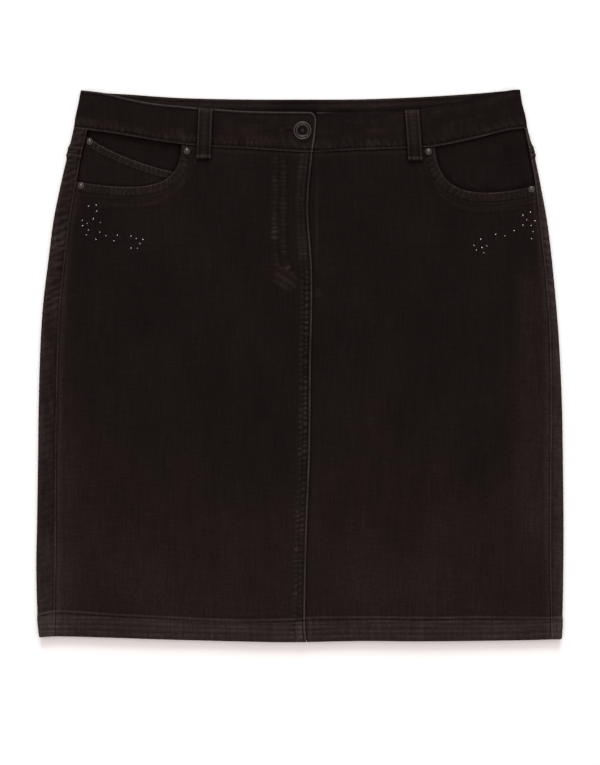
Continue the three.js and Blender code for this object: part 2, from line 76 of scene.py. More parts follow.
RIGHT_FACING_DEPTH = COIN_DEPTH + COIN_WALL + SEAM_GAP
LEFT_FACING_DEPTH = DENIM + SEAM_GAP
FACING_BEYOND_OPENING = 15
FACING_TUCK = 1.6
LOOP_WIDTH = 14
LOOP_WALL = 1.9
LOOP_FOOT_BELOW_SEAM = 12.5
LOOP_TOP_BELOW_EDGE = 0.6
BUTTON_RADIUS = 9
RIVET_RADIUS = 2.9
COIN_POCKET_BOTTOM = 168
RIGHT_POCKET_LOW = 177
LEFT_POCKET_LOW = 172

OUTLINE = table(
    "y right_fold right_seam left_seam left_fold",
    (276, -218.6, -202.5, 215.5, 219.8),
    (262, -221.1, -205.6, 217.9, 221.8),
    (250, -223.7, -208.4, 220.5, 224.9),
    (236.5, -225.9, -211.4, 224.0, 227.3),
    (213, -231.2, -217.1, 228.8, 233.4),
    (186, -237.6, -222.1, 233.9, 239.1),
    (146, -245.7, -228.7, 238.5, 246.4),
    (106, -250.9, -233.8, 243.0, 251.4),
    (66, -255.8, -237.9, 246.5, 255.3),
    (26, -258.7, -240.1, 248.7, 258.5),
    (-34, -260.6, -241.7, 249.7, 261.4),
    (-94, -261.4, -242.7, 249.2, 262.5),
    (-154, -262.3, -243.0, 248.8, 263.1),
    (-204, -263.1, -243.3, 249.0, 262.9),
    (-251, -261.7, -244.0, 250.2, 262.0),
    (-276, -259.2, -244.4, 250.8, 260.7),
)
WAIST = table(
    "x front_top front_seam back_top",
    (-223, 275.4, 236.4, 275.4),
    (-194, 271.8, 232.8, 272.3),
    (-169, 265.8, 228.9, 270.8),
    (-144, 261.4, 224.5, 268.9),
    (-119, 259.0, 220.9, 267.4),
    (-88, 256.3, 218.1, 266.5),
    (-50, 253.8, 216.0, 265.9),
    (10, 253.0, 212.8, 265.8),
    (60, 252.8, 215.0, 266.1),
    (107, 255.0, 216.6, 267.7),
    (133, 258.0, 218.3, 269.0),
    (158, 262.6, 222.8, 270.6),
    (183, 269.2, 228.6, 272.4),
    (208, 274.4, 234.8, 274.7),
    (224, 275.8, 236.8, 275.8),
)
HEM_EDGE = table(
    "x y",
    (-260, -270.9),
    (-243, -269.9),
    (-189, -271.2),
    (-129, -273.2),
    (-69, -274.7),
    (-9, -275.7),
    (61, -274.5),
    (121, -274.8),
    (221, -273.8),
    (261, -272.7),
)
CENTRE_EDGE = table(
    "y x",
    (213, 12.6),
    (160, 8.2),
    (93, 12.2),
    (0, 11.0),
    (-84, 10.1),
    (-174, 6.7),
    (-254, 5.2),
    (-276, 6.6),
)
BAND_END = table("y x", (254, 15.6), (246, 16.2), (231, 15.2), (213, 12.7))
YOKE_SEAM = table("from_centre y", (0, 182), (120, 201), (234, 212.5))
SWELLS = table(
    "x y half_width half_length height",
    (-165, -262, 70, 80, 0.4),
    (-45, -268, 50, 60, 0.3),
    (120, -265, 75, 75, 0.4),
    (70, 90, 60, 90, 0.3),
    (-110, 40, 55, 110, 0.6),
    (150, -90, 60, 100, 0.7),
)
RIGHT_POCKET_CURVE = [(-117.4, 222), (-118.5, 180), (-145, 171), (-223, 183.5)]
LEFT_POCKET_CURVE = [(133.5, 220), (136.5, 183), (155, 159.5), (236, 180)]
COIN_CURVE = [(-214.5, 230), (-180, 205), (-119, 191.6)]
LOOP_PROFILE = table(
    "share clear",
    (0, SEAM_GAP),
    (0.15, SEAM_GAP),
    (0.22, WAISTBAND_PROUD + 1.0),
    (0.3, WAISTBAND_PROUD + 1.7),
    (0.5, WAISTBAND_PROUD + 2.0),
    (0.75, WAISTBAND_PROUD + 1.7),
    (0.88, WAISTBAND_PROUD + 0.9),
    (0.95, WAISTBAND_PROUD + SEAM_GAP),
    (1, WAISTBAND_PROUD + SEAM_GAP),
)
BELT_LOOPS = {"belt_loop_right": (-96.0, -93.9), "belt_loop_left": (115.1, 111.4)}
RIVETS = {
    "rivet_coin_pocket": (-209.6, 223.6, COIN_DEPTH),
    "rivet_right_top": (-112.6, 214.0, 0),
    "rivet_right_side": (-218.0, 179.2, 0),
    "rivet_left_top": (128.2, 213.2, 0),
    "rivet_left_side": (230.8, 175.8, 0),
}
BUTTON = (2.6, 233.9)
BUTTONHOLE_BESIDE_BUTTON = 13
BUTTONHOLE_HALF = (7.5, 2.6)

# Sewing: the rows of stitches, by their distances from an edge, and how far they run

STITCH_PITCH = 3.4
STITCH_LENGTH = 2.5
STITCH_WIDTH = 0.62
STITCH_RISE = 0.32
STITCH_PROUD = 0.05
LOOP_STITCH_DEPTH = 0.12
CENTRE_ROWS = (5.4, 9.8)
CENTRE_SEWN = (210, -248)
POCKET_ROWS = (2.0, 8.2)
POCKET_SEWN_TO = (218, 216)
POCKET_BAG_ROWS = (11.2, 14.8, 18.6)
COIN_ROWS = (1.8, 6.2)
COIN_SEWN_TO = -121
BAND_ROW = 1.9
BAND_SEWN = ((-216, 6), (32, 219))
BAND_END_ROW = 3.2
BAND_END_SEWN = (216, 247)
YOKE_BARS = (-2.2, 5.6)
YOKE_GROOVES = (-4.6, 0, 3.6, 8)
LOOP_ROWS = (-4.4, 4.4)
LOOP_FOOT_ROWS = (1.6, 2.9)
LOOP_FOOT_ROW_HALF = 5.6
HEM_SCUFFS = (0.22, 0.45, 0.66, 0.84)
HEM_ROW_BELOW_SEAM = 0.3
HEM_SEWN = ((-242, 4.5), (8, 248))
HEM_STITCH = table(
    "x y",
    (-262, -248.2),
    (-243.3, -245.2),
    (-189.3, -248.2),
    (-129.3, -251.2),
    (-69.3, -253.8),
    (-3.3, -253.2),
    (6.7, -251.8),
    (60.7, -251.2),
    (120.7, -251.6),
    (180.7, -251.2),
    (240.7, -251.8),
    (263, -251.2),
)
FLY_PLACES = [(-16.5, 211), (-16.5, 165), (-17, 122), (-14.5, 104), (-9, 93), (-2, 85), (4, 79)]
FLY_ROWS = (0, 8.2)

# Soft ridges where the edge of a facing shows through the front
RIGHT_FACING_RIDGE = [(-205, 158), (-162, 159.8), (-144, 162.1), (-132, 167.1), (-119.3, 177.1), (-113, 200)]
LEFT_FACING_RIDGE = [(221, 162), (188, 155.2), (169.5, 156.8), (152, 162), (140, 172), (131, 195)]

# Loose scatters of small stones: the middle, half sizes and number of stones of each
STONE_RADIUS = 0.72
STONE_SPACING = 5.0
STONE_CLUSTERS = table(
    "x y half_width half_length count",
    (-206, 144, 12, 20, 12),
    (-165, 124, 9, 10, 6),
    (224, 139, 11, 17, 9),
    (180, 118, 7, 10, 6),
    (199, 129, 6, 5, 2),
    (-187, 128, 8, 6, 3),
)

# Creases in the front, from end to end, with their width, height and wear
CREASES = table(
    "x0 y0 x1 y1 width height wear",
    (-27, 93, -2, 78, 2.0, 0.45, 0.2),
    (-25, 103, -3, 86, 1.6, 0.35, 0.12),
    (-27, 86, -8, 74, 2.0, 0.35, 0.18),
    (17.5, 205, 16.2, 92, 2.0, 0.3, 0.08),
    (14, 70, 24, 72, 1.4, 0.35, 0.12),
    (14, 73.5, 22, 76.5, 1.2, 0.25, 0.1),
    (-205, 92, -120, 74, 12, 0.3, 0.0),
    (-215, 20, -150, 34, 14, 0.3, 0.0),
    (60, 140, 150, 118, 14, 0.3, 0.0),
    (110, 40, 215, 64, 13, 0.35, 0.0),
    (-190, -80, -80, -96, 16, 0.3, 0.0),
    (40, -120, 160, -104, 16, 0.3, 0.0),
    (-70, 150, -48, 60, 13, 0.25, 0.0),
    (222, 60, 214, -140, 12, 0.4, 0.02),
    (-222, -150, -214, 40, 12, 0.35, 0.015),
)


def smoothstep(value, start, end):
    t = np.clip((value - start) / (end - start), 0, 1)
    return t * t * (3 - 2 * t)


def between(value, start, full, fading, gone):
    """1 from full to fading, with a soft border on each side."""
    return smoothstep(value, start, full) * (1 - smoothstep(value, fading, gone))


def lerp(a, b, t):
    return a + (b - a) * t


def through(rows, source, target):
    """A smooth function through a table's rows."""
    order = np.argsort(rows[source])
    at = rows[source][order]
    values = rows[target][order]
    before = np.maximum(np.arange(len(at)) - 1, 0)
    after = np.minimum(np.arange(len(at)) + 1, len(at) - 1)
    slopes = (values[after] - values[before]) / (at[after] - at[before])

    def value(where):
        where = np.asarray(where, float)
        k = np.clip(np.searchsorted(at, where, side="right") - 1, 0, len(at) - 2)
        width = at[k + 1] - at[k]
        rise = values[k + 1] - values[k]
        t = np.clip((where - at[k]) / width, 0, 1)
        a = slopes[k] * width - rise
        b = rise - slopes[k + 1] * width
        return values[k] + t * rise + t * (1 - t) * (a * (1 - t) + b * t)

    return value


right_fold = through(OUTLINE, "y", "right_fold")
right_seam = through(OUTLINE, "y", "right_seam")
left_seam = through(OUTLINE, "y", "left_seam")
left_fold = through(OUTLINE, "y", "left_fold")
front_top = through(WAIST, "x", "front_top")
front_seam = through(WAIST, "x", "front_seam")
back_top = through(WAIST, "x", "back_top")
hem_edge = through(HEM_EDGE, "x", "y")
hem_stitch = through(HEM_STITCH, "x", "y")
centre_edge = through(CENTRE_EDGE, "y", "x")
band_end = through(BAND_END, "y", "x")
yoke_rise = through(YOKE_SEAM, "from_centre", "y")
loop_clear = through(LOOP_PROFILE, "share", "clear")
SIDE_SEAMS = {-1: right_seam, 1: left_seam}
SIDE_FOLDS = {-1: right_fold, 1: left_fold}


def back_seam(x):
    return back_top(x) - WAISTBAND_DEPTH


def back_hem_edge(x):
    return hem_edge(x) + BACK_HEM_SHORTER * (1 - smoothstep(np.abs(x), *BACK_HEM_EASE))


def panel_top(x):
    return front_seam(x) - HALF_GAP


def right_front_edge(y):
    return right_seam(y) + HALF_GAP


def left_front_edge(y):
    return left_seam(y) - HALF_GAP


def in_hem(x, y):
    return y < hem_edge(x) + HEM_DEPTH + HEM_STEP / 2


def panel_thickness(x, y):
    return np.where(in_hem(x, y), HEM_WALL, DENIM)


def front_height(x, y):
    """Height of the front's outer face over the surface that the skirt lies on."""
    inward = np.minimum(x - right_fold(y), left_fold(y) - x)
    body = lerp(LOWER_HEIGHT, UPPER_HEIGHT, smoothstep(y, *BODY_EASE))
    hem = lerp(HEM_HEIGHT, body, smoothstep(y - hem_edge(x) - HEM_DEPTH, *HEM_EASE))
    lying = lerp(FOLD_HEIGHT, hem, smoothstep(inward, *FOLD_EASE))
    off_centre = np.abs(x - centre_edge(y))
    pile = CENTRE_PILE * (1 - smoothstep(off_centre, *PILE_EASE_ACROSS)) * smoothstep(y, *PILE_EASE_ALONG)
    swell = 0
    for sx, sy, half_width, half_length, height in rows_of(SWELLS):
        away = np.hypot((x - sx) / half_width, (y - sy) / half_length)
        swell = swell + height * (1 - smoothstep(away, 0, 1))
    return lying + pile + swell


def panel_lap_dip(x, y):
    full = np.where(in_hem(x, y), HEM_LAP_DIP, LAP_DIP)
    return full * (1 - smoothstep(x - centre_edge(y), *LAP_EASE))


def band_lap_dip(x, y):
    return BAND_LAP_DIP * (1 - smoothstep(x - band_end(y), *BAND_LAP_EASE))


def corner_drop(x):
    """How far the band's top edge drops into the rounded corner at its right end."""
    into = np.maximum(0, x - (BAND_END["x"][0] - BAND_CORNER_RADIUS))
    return BAND_CORNER_RADIUS - np.sqrt(np.maximum(0, BAND_CORNER_RADIUS**2 - into**2))


def loop_ends(foot_x, top_x):
    """The heights of a belt loop's foot and top up the cloth."""
    return front_seam(foot_x) - LOOP_FOOT_BELOW_SEAM, front_top(top_x) - LOOP_TOP_BELOW_EDGE


# Lines and unevenness


def curve(points, count=60):
    """Points along a curve of any order, from its control points."""
    t = np.linspace(0, 1, count)[:, None]
    rest = [np.array([p], float) for p in points]
    while len(rest) > 1:
        rest = [a + (b - a) * t for a, b in zip(rest, rest[1:])]
    return rest[0]


def smooth_line(points, count=40):
    """Points along a smooth line through a few places."""
    places = np.array(points, float)
    along = np.r_[0, np.cumsum(np.hypot(*np.diff(places, axis=0).T))]
    rows = {"s": along, "x": places[:, 0], "y": places[:, 1]}
    at = np.linspace(0, along[-1], count)
    return np.stack([through(rows, "s", "x")(at), through(rows, "s", "y")(at)], 1)


def beside(line, x, y):
    """How far each place lies from a line, on which side (left is positive), and how far along it."""
    best = np.full(x.shape, 1e9)
    side = np.ones(x.shape)
    along = np.zeros(x.shape)
    start = 0.0
    for a, b in zip(line, line[1:]):
        step = b - a
        length = math.hypot(*step)
        t = ((x - a[0]) * step[0] + (y - a[1]) * step[1]) / length**2
        near = np.clip(t, 0, 1)
        away = np.hypot(x - a[0] - near * step[0], y - a[1] - near * step[1])
        closer = away < best
        best = np.where(closer, away, best)
        cross = step[0] * (y - a[1]) - step[1] * (x - a[0])
        side = np.where(closer, np.sign(cross), side)
        along = np.where(closer, start + near * length, along)
        start += length
    return best, side, along


def uneven(t, seed):
    """A smooth random value from -1 to 1 along a line, a new one each unit."""
    values = np.random.default_rng(seed).uniform(-1, 1, 256)
    k = np.floor(t).astype(int)
    return lerp(values[k % 256], values[(k + 1) % 256], smoothstep(t - k, 0, 1))


def mottled(x, y, seed):
    """A smooth random value from -1 to 1 over a face, a new one each unit."""
    values = np.random.default_rng(seed).uniform(-1, 1, (128, 128))
    i = np.floor(x).astype(int)
    j = np.floor(y).astype(int)
    u = smoothstep(x - i, 0, 1)
    v = smoothstep(y - j, 0, 1)
    low = lerp(values[i % 128, j % 128], values[(i + 1) % 128, j % 128], u)
    high = lerp(values[i % 128, (j + 1) % 128], values[(i + 1) % 128, (j + 1) % 128], u)
    return lerp(low, high, v)


def patchy(t, seed, spread=0.25):
    """A smooth random strength along a line, 1 at most and two spreads less at least."""
    return 1 - spread + spread * uneven(t, seed)


def patches(t, seed, middle, spread):
    """A smooth random strength along a line that drops to nothing where it would be negative."""
    return np.maximum(0, middle + spread * uneven(t, seed))


def puckers(along, pitch, seed):
    """Rounded crests from 0 to 1, a pitch apart but uneven in place and height."""
    drift = 0.5 * uneven(along / (pitch * 2.5), seed)
    strength = patchy(along / (pitch * 1.6), seed + 1, 0.35)
    return strength * (0.5 + 0.5 * np.cos(2 * math.pi * (along / pitch + drift))) ** 1.4


def line_at(distance, width):
    """A soft line: 1 where the distance is 0, and gone two widths away."""
    return np.exp(-((distance / width) ** 2))


def rolled(distance, drop, reach):
    """How far cloth rolls down towards an edge."""
    into = np.clip(1 - distance / reach, 0, 1)
    return drop * (1 - np.sqrt(1 - into**2))


RIGHT_POCKET_LINE = curve(RIGHT_POCKET_CURVE)
LEFT_POCKET_LINE = curve(LEFT_POCKET_CURVE)
COIN_LINE = curve(COIN_CURVE)
FLY_LINE = smooth_line(FLY_PLACES, 60)


class Look:
    """How far each point of a face stands off its solid's face, how much wear and painted highlight lighten
    it, and how much painted shade darkens it.
    """

    def __init__(self, shape):
        self.height = np.zeros(shape)
        self.wear = np.zeros(shape)
        self.shade = np.zeros(shape)

    def add(self, height=0, wear=0, shade=0):
        self.height = self.height + height
        self.wear = self.wear + wear
        self.shade = self.shade + shade

    def line(self, distance, width, height=0, wear=0, shade=0):
        """Raise a soft line along the places where the distance is 0, lighten it with wear and painted
        highlight, or darken it with painted shade.
        """
        at = line_at(distance, width)
        self.add(height * at, wear * at, shade * at)


def sewn_row(look, distance, along, seed, strength):
    """A row of topstitching: a shallow trough with puckers across it, worn on their crests."""
    crests = puckers(along, 5.4, seed)
    look.line(distance, 1.7, height=0.3 * strength * crests, wear=0.6 * strength * crests)
    look.line(distance, 1.1, height=-0.22)
    look.line(distance, 1.6, shade=0.5 * strength * (1 - crests))


def in_hem_band(x, y):
    """1 in the turned hem, and 0 above its stitched seam."""
    return 1 - smoothstep(y - hem_stitch(x), -1.2, 0.2)


def hem_look(look, x, y):
    """The turned hem: paler, with its seam, puckers and lines of abrasion."""
    up = y - hem_edge(x)
    over_seam = y - hem_stitch(x)
    band = in_hem_band(x, y)
    ticks = (puckers(x, 8.5, 11) + 0.5 * puckers(x, 4.3, 12)) * band
    look.add(wear=0.085 * band + 0.07 * ticks)
    look.line(over_seam + 9, 9, height=0.2 * ticks)
    for row, share in enumerate(HEM_SCUFFS):
        scuffed = patchy(x / 22, 13 + row, 0.4)
        away = up - share * HEM_DEPTH - 0.8 * uneven(x / 40, 33 + row)
        look.line(away, 1.1, wear=0.2 * scuffed)
        look.line(away, 1.3, height=0.1 * scuffed)
        look.line(away - 2.6, 1.0, shade=0.15)
    look.line(over_seam - 0.3, 1.0, wear=0.46 * patchy(x / 11, 17))
    look.line(over_seam - 0.6, 1.4, height=0.3)
    look.line(over_seam + 1.5, 0.9, height=-0.3)
    look.line(over_seam + 1.7, 1.0, shade=0.4)
    look.line(over_seam - 2.6, 1.0, shade=0.2)
    look.line(up - 0.5, 1.0, wear=0.12)
    look.add(height=-rolled(up, 0.9, 2.2))


def body_look(look, x, y):
    """What covers both front panels: the paler lower half and sides, soft mottling and the creases."""
    look.add(wear=0.075 * smoothstep(-y, 10, 230))
    look.add(wear=0.065 * smoothstep(x, 205, 228) * between(y, -215, -150, 70, 130))
    look.add(wear=0.05 * smoothstep(-x, 215, 236) * smoothstep(-y, -150, -60))
    look.add(wear=0.012 * mottled(x / 34, y / 55, 21) + 0.01 * mottled(x / 7, y / 60, 22))
    look.add(height=0.12 * mottled(x / 60, y / 80, 23))
    for x0, y0, x1, y1, width, height, wear in rows_of(CREASES):
        away, _, along = beside(np.array([(x0, y0), (x1, y1)]), x, y)
        length = math.hypot(x1 - x0, y1 - y0)
        fade = np.sin(np.clip(along / length, 0, 1) * math.pi) ** 0.6
        look.line(away, width, height=height * fade, wear=wear * fade)


def below_band_look(look, x, y):
    """The shadowed line under the waistband's edge."""
    below = panel_top(x) - y
    look.add(height=-rolled(below, 0.5, 2))
    look.line(below, 1.2, shade=0.35)
    look.line(below - 3.2, 1.6, wear=0.06)


def beside_loops(look, x, y):
    """The shadowed lines along the sides of the belt loops and under their feet."""
    for foot_x, top_x in BELT_LOOPS.values():
        foot_y, top_y = loop_ends(foot_x, top_x)
        middle = lerp(foot_x, top_x, (y - foot_y) / (top_y - foot_y))
        out = np.abs(x - middle) - LOOP_WIDTH / 2
        beside_it = line_at(out - 0.9, 1.1) * smoothstep(y, foot_y - 2, foot_y)
        under_foot = line_at(foot_y - y - 0.9, 1.1) * (1 - smoothstep(out, -1, 1))
        look.add(shade=0.45 * np.maximum(beside_it, under_foot))


def pocket_look(look, x, y, line, ridge, seed):
    """A pocket's sewn edge, with the rows of the pocket bag and the facing's edge showing through."""
    away, _, along = beside(line, x, y)
    look.add(height=-rolled(away, 0.8, 1.8))
    look.line(away - 1.6, 1.4, height=0.25)
    look.line(away - 0.5, 0.8, wear=0.31 * patchy(along / 9, seed + 5))
    for row, distance in enumerate(POCKET_ROWS):
        sewn_row(look, away - distance, along, seed + row, 0.3)
    ticks = puckers(along, 4.4, seed + 2)
    band = between(away, 1.5, 3, 8, 9.5)
    look.add(wear=band * (0.02 + 0.17 * ticks), height=0.2 * band * ticks)
    look.line(away - 8.6, 0.8, shade=0.5)
    for row, distance in enumerate(POCKET_BAG_ROWS):
        strength = patches(along / 15, seed + 8 + row, 0.4, 0.6) * (0.6 + 0.4 * ticks)
        look.line(away - distance, 1.4, height=0.15 * strength)
        look.line(away - distance, 1.1, wear=0.11 * strength)
        look.line(away - distance - 1.9, 0.9, shade=0.35 * strength)
    away, _, _ = beside(smooth_line(ridge), x, y)
    look.line(away, 2.4, height=0.3)
    look.line(away, 1.6, wear=0.05)


def front_look(x, y, line, ridge, seed, inward):
    """What both fronts show. Line is the pocket's edge, and inward the distance from the side seam."""
    look = Look(x.shape)
    body_look(look, x, y)
    pocket_look(look, x, y, line, ridge, seed)
    look.add(height=-rolled(inward, 0.4, 1.6))
    look.line(inward - 0.3, 1.0, shade=0.05)
    look.line(inward - 2.5, 2.5, wear=0.1)
    beside_loops(look, x, y)
    below_band_look(look, x, y)
    hem_look(look, x, y)
    return look


def fly_look(look, x, y):
    """The fly: two blotchy worn rows that curve in below the zip, and a worn strip by the lap's edge."""
    away, side, along = beside(FLY_LINE, x, y)
    across = away * side
    shown = between(y, 74, 86, 206, 212)
    look.add(height=0.15 * smoothstep(across, -9, -1) * shown)
    for row, offset in enumerate(FLY_ROWS):
        ticks = shown * puckers(along, 4.4, 87 + 3 * row) * patches(along / 13, 85 + row, 0.5, 0.6)
        wandering = across + offset + 0.8 * uneven(along / 4, 89)
        look.line(wandering, 2.7, height=0.25 * ticks, wear=0.65 * ticks)
        look.line(across + offset - 4, 0.8, shade=0.3 * shown)
    from_edge = centre_edge(y) - x
    strip = between(from_edge, 3, 5, 11, 14) * smoothstep(y, 98, 112)
    blotches = puckers(y, 4.8, 93) * patches(y / 15, 95, 0.35, 0.65)
    look.add(wear=strip * (0.03 + 0.38 * blotches))


def front_right_look(x, y):
    """The right front, with the roped edge of the lapped centre seam and the fly."""
    look = front_look(x, y, RIGHT_POCKET_LINE, RIGHT_FACING_RIDGE, 41, x - right_front_edge(y))
    inward = centre_edge(y) - x
    look.add(height=-rolled(inward, 0.7, 1.4))
    look.line(inward - 1.4, 1.0, height=0.2)
    edge_wear = lerp(0.58, 0.52, smoothstep(y, 80, 120))
    look.line(inward - 0.7, 0.85, wear=edge_wear * patchy(y / 12, 37, 0.2))
    look.line(inward - 2.8, 0.9, shade=0.55)
    look.line(inward - 7.6, 0.8, shade=0.35)
    below_fly = lerp(1.0, 0.25, smoothstep(y, 92, 108))
    for row, (distance, strength) in enumerate(zip(CENTRE_ROWS, (1, 0.75))):
        sewn_row(look, inward - distance, y, 31 + row, below_fly * strength)
    seam_band = 1 - smoothstep(inward, 10.5, 13)
    look.add(height=0.25 * seam_band, wear=0.015 * seam_band)
    in_band = in_hem_band(x, y)
    piled = between(inward, 2.6, 3.8, 8.6, 9.8) * in_band
    look.add(height=0.25 * piled, wear=0.26 * piled)
    look.line(inward - 10.8, 1.0, shade=0.35 * in_band)
    fly_look(look, x, y)
    return look


def front_left_look(x, y):
    """The left front, shaded beside the edge that laps over it."""
    look = front_look(x, y, LEFT_POCKET_LINE, LEFT_FACING_RIDGE, 45, left_front_edge(y) - x)
    look.add(shade=0.35 * (1 - smoothstep(x - centre_edge(y), 0.6, 2.6)))
    return look


def strip_look(x, y, side):
    """The back panel where it comes round the fold: paler, with painted sheen next to the fold, puckered,
    with a ridge along the side seam.
    """
    look = Look(x.shape)
    from_seam = np.abs(SIDE_SEAMS[side](y) - x)
    from_fold = np.abs(x - SIDE_FOLDS[side](y))
    if side < 0:
        paler = lerp(0.055, 0.15, smoothstep(-y, 120, 220))
    else:
        paler = 0.16 + 0.22 * smoothstep(y, 150, 200) * line_at(from_seam - 1.4, 1.6)
    # Paler all over, with mottling; the extra lightness within a few millimetres of the fold is painted
    # sheen.
    look.add(wear=paler + 0.05 * mottled(x / 4, y / 14, 51) + 0.1 * (1 - smoothstep(from_fold, 1, 7)))
    inside = smoothstep(from_seam, 0.5, 3)
    creases = puckers(y + 0.5 * from_seam, 8.5, 52 + side) + 0.6 * puckers(y, 5.3, 56 + side)
    lively = (0.55 + 0.45 * between(y, 20, 60, 150, 175)) * creases * inside
    look.add(height=0.4 * lively, wear=0.13 * lively)
    puckered = smoothstep(y, 20, 90) * inside
    look.add(wear=0.09 * creases * puckered, shade=0.25 * puckered * np.maximum(0, 0.6 - creases))
    in_band = in_hem_band(x, y)
    look.add(height=-rolled(from_seam, 0.5, 0.8))
    look.line(from_seam - 1.1, 1.0, height=0.35)
    look.line(from_seam - 0.6, 0.65, wear=(0.37 + 0.2 * in_band) * patchy(y / 9, 58 + side))
    look.line(from_seam - 2.5, 0.8, shade=0.35 - 0.25 * in_band)
    over = y - yoke_rise(np.abs(x))
    for bar in YOKE_BARS:
        look.line(over - bar, 1.3, height=0.4)
        look.line(over - bar, 1.0, wear=0.3)
    for groove in YOKE_GROOVES:
        look.line(over - groove, 1.1, height=-0.3)
        look.line(over - groove, 0.9, shade=0.45)
    at_fold = 1 - smoothstep(from_fold, 0, 6)
    piled = between(over, YOKE_BARS[0] - 6, YOKE_BARS[0] + 1, 4, 12)
    look.add(height=(0.8 + 1.1 * at_fold) * piled + at_fold * in_band, wear=0.1 * in_band)
    look.line(y - hem_stitch(x) - 0.3, 1.0, wear=0.22)
    hem_look(look, x, y)
    return look


def band_look(x, y):
    """The waistband's front: worn edges, roping above its seam, a row of topstitching at each edge, and
    painted highlight and painted shade along its top edge.
    """
    look = Look(x.shape)
    up = y - front_seam(x) - HALF_GAP
    down = front_top(x) - y
    look.add(height=-rolled(up, 0.7, 1.5) - rolled(down, 0.8, 1.8) + 0.12 * mottled(x / 30, y / 16, 64))
    look.add(wear=0.055 * mottled(x / 24, down / 5, 61) + 0.03 * mottled(x / 4, y / 9, 62))
    rubbed = patchy(x / 14, 66)
    # Painted highlight on the top edge of the left half next to the band's end, where that edge dips into
    # shadow; painted shade along the rest of the top edge, which faces the low sun.
    highlight_by_end = between(x - band_end(y), 0, 2, 8, 22)
    look.line(down - 0.7, 0.8, wear=(0.06 + 0.4 * highlight_by_end) * rubbed)
    look.line(down - 0.2, 0.9, shade=0.55 * (1 - highlight_by_end))
    look.line(up - 0.4, 0.75, wear=(0.5 + 0.25 * smoothstep(np.abs(x), 130, 170)) * rubbed)
    ropes = puckers(x + 0.7 * up, 8, 63) + 0.6 * puckers(x - 0.4 * up, 5.1, 68)
    low = between(up, 1, 3, 7, 16) * ropes
    high = between(down, 1.5, 4, 5, 11) * ropes
    look.add(height=0.35 * low + 0.15 * high, wear=0.09 * low + 0.04 * high)
    roped = between(up, 1.5, 2.8, 5, 8) * patchy(x / 31, 70, 0.45)
    ticks = puckers(x, 5.2, 69)
    look.add(height=0.2 * ticks * roped, wear=0.24 * ticks * roped, shade=0.25 * (1 - ticks) * roped)
    for distance in (up - BAND_ROW, down - BAND_ROW - 0.4):
        look.line(distance, 1.0, height=-0.25)
        look.line(distance - 0.6, 0.9, shade=0.4)
    beside_loops(look, x, y)
    return look


def band_inside_look(x, y):
    """The inside of the waistband's back, where it shows above the front's top edge."""
    look = Look(x.shape)
    down = back_top(x) - y
    rubbed = patchy(x / 12, 60)
    look.add(wear=0.02 + 0.03 * mottled(x / 12, down / 3, 65), shade=0.3 * smoothstep(down, 8, 12))
    look.line(down - 1.0, 0.9, wear=0.33 * rubbed)
    look.line(down - 6, 2.4, wear=0.13 * rubbed)
    look.line(down - 3.2, 0.9, shade=0.35)
    return look


def band_end_look(x, y):
    """The worn and stitched end of the band's right half, with its buttonhole."""
    look = Look(x.shape)
    inward = band_end(y) - x
    corner_x = np.maximum(0, BAND_CORNER_RADIUS - inward)
    corner_y = np.maximum(0, BAND_CORNER_RADIUS - (front_top(x) - y))
    inward = np.minimum(inward, BAND_CORNER_RADIUS - np.hypot(corner_x, corner_y))
    look.add(height=-rolled(inward, 0.8, 1.6))
    look.line(inward - 0.6, 0.8, wear=1.05 * patchy(y / 6, 67, 0.2))
    look.line(inward - BAND_END_ROW, 1.0, height=-0.2)
    look.line(inward - BAND_END_ROW, 0.9, shade=0.3)
    slot_x = (x - BUTTON[0] + BUTTONHOLE_BESIDE_BUTTON) / BUTTONHOLE_HALF[0]
    slot_y = (y - BUTTON[1]) / BUTTONHOLE_HALF[1]
    around = np.hypot(slot_x, slot_y)
    look.line(around - 1, 0.35, height=0.3, wear=0.07)
    look.line(around, 0.5, height=-0.4)
    look.line(around, 0.55, shade=0.5)
    return look


# Meshes

COLLECTION = bpy.context.scene.collection
MOST_WEAR_AND_HIGHLIGHT = 1.2
MOST_SHADE = 0.9


def mesh_object(name, points, faces, material, smooth=True):
    """A mesh from points in millimetres."""
    mesh = bpy.data.meshes.new(name)
    mesh.from_pydata((np.asarray(points) * MM).tolist(), [], faces)
    mesh.polygons.foreach_set("use_smooth", [smooth] * len(mesh.polygons))
    mesh.materials.append(material)
    mesh.update()
    thing = bpy.data.objects.new(name, mesh)
    COLLECTION.objects.link(thing)
    return thing


def grid_faces(rows, columns, start=0, flip=False):
    """The faces between the points of a grid."""
    at = start + np.arange(rows * columns).reshape(rows, columns)
    quads = np.stack([at[:-1, :-1], at[:-1, 1:], at[1:, 1:], at[1:, :-1]], -1).reshape(-1, 4)
    return quads[:, ::-1] if flip else quads


def rim_faces(rows, columns):
    """The faces that join the rims of an outer and an inner grid."""
    at = np.arange(rows * columns).reshape(rows, columns)
    ring = np.r_[at[0, :], at[1:, -1], at[-1, -2::-1], at[-2:0:-1, 0]]
    following = np.roll(ring, -1)
    inner = rows * columns
    return np.stack([ring, ring + inner, following + inner, following], -1)


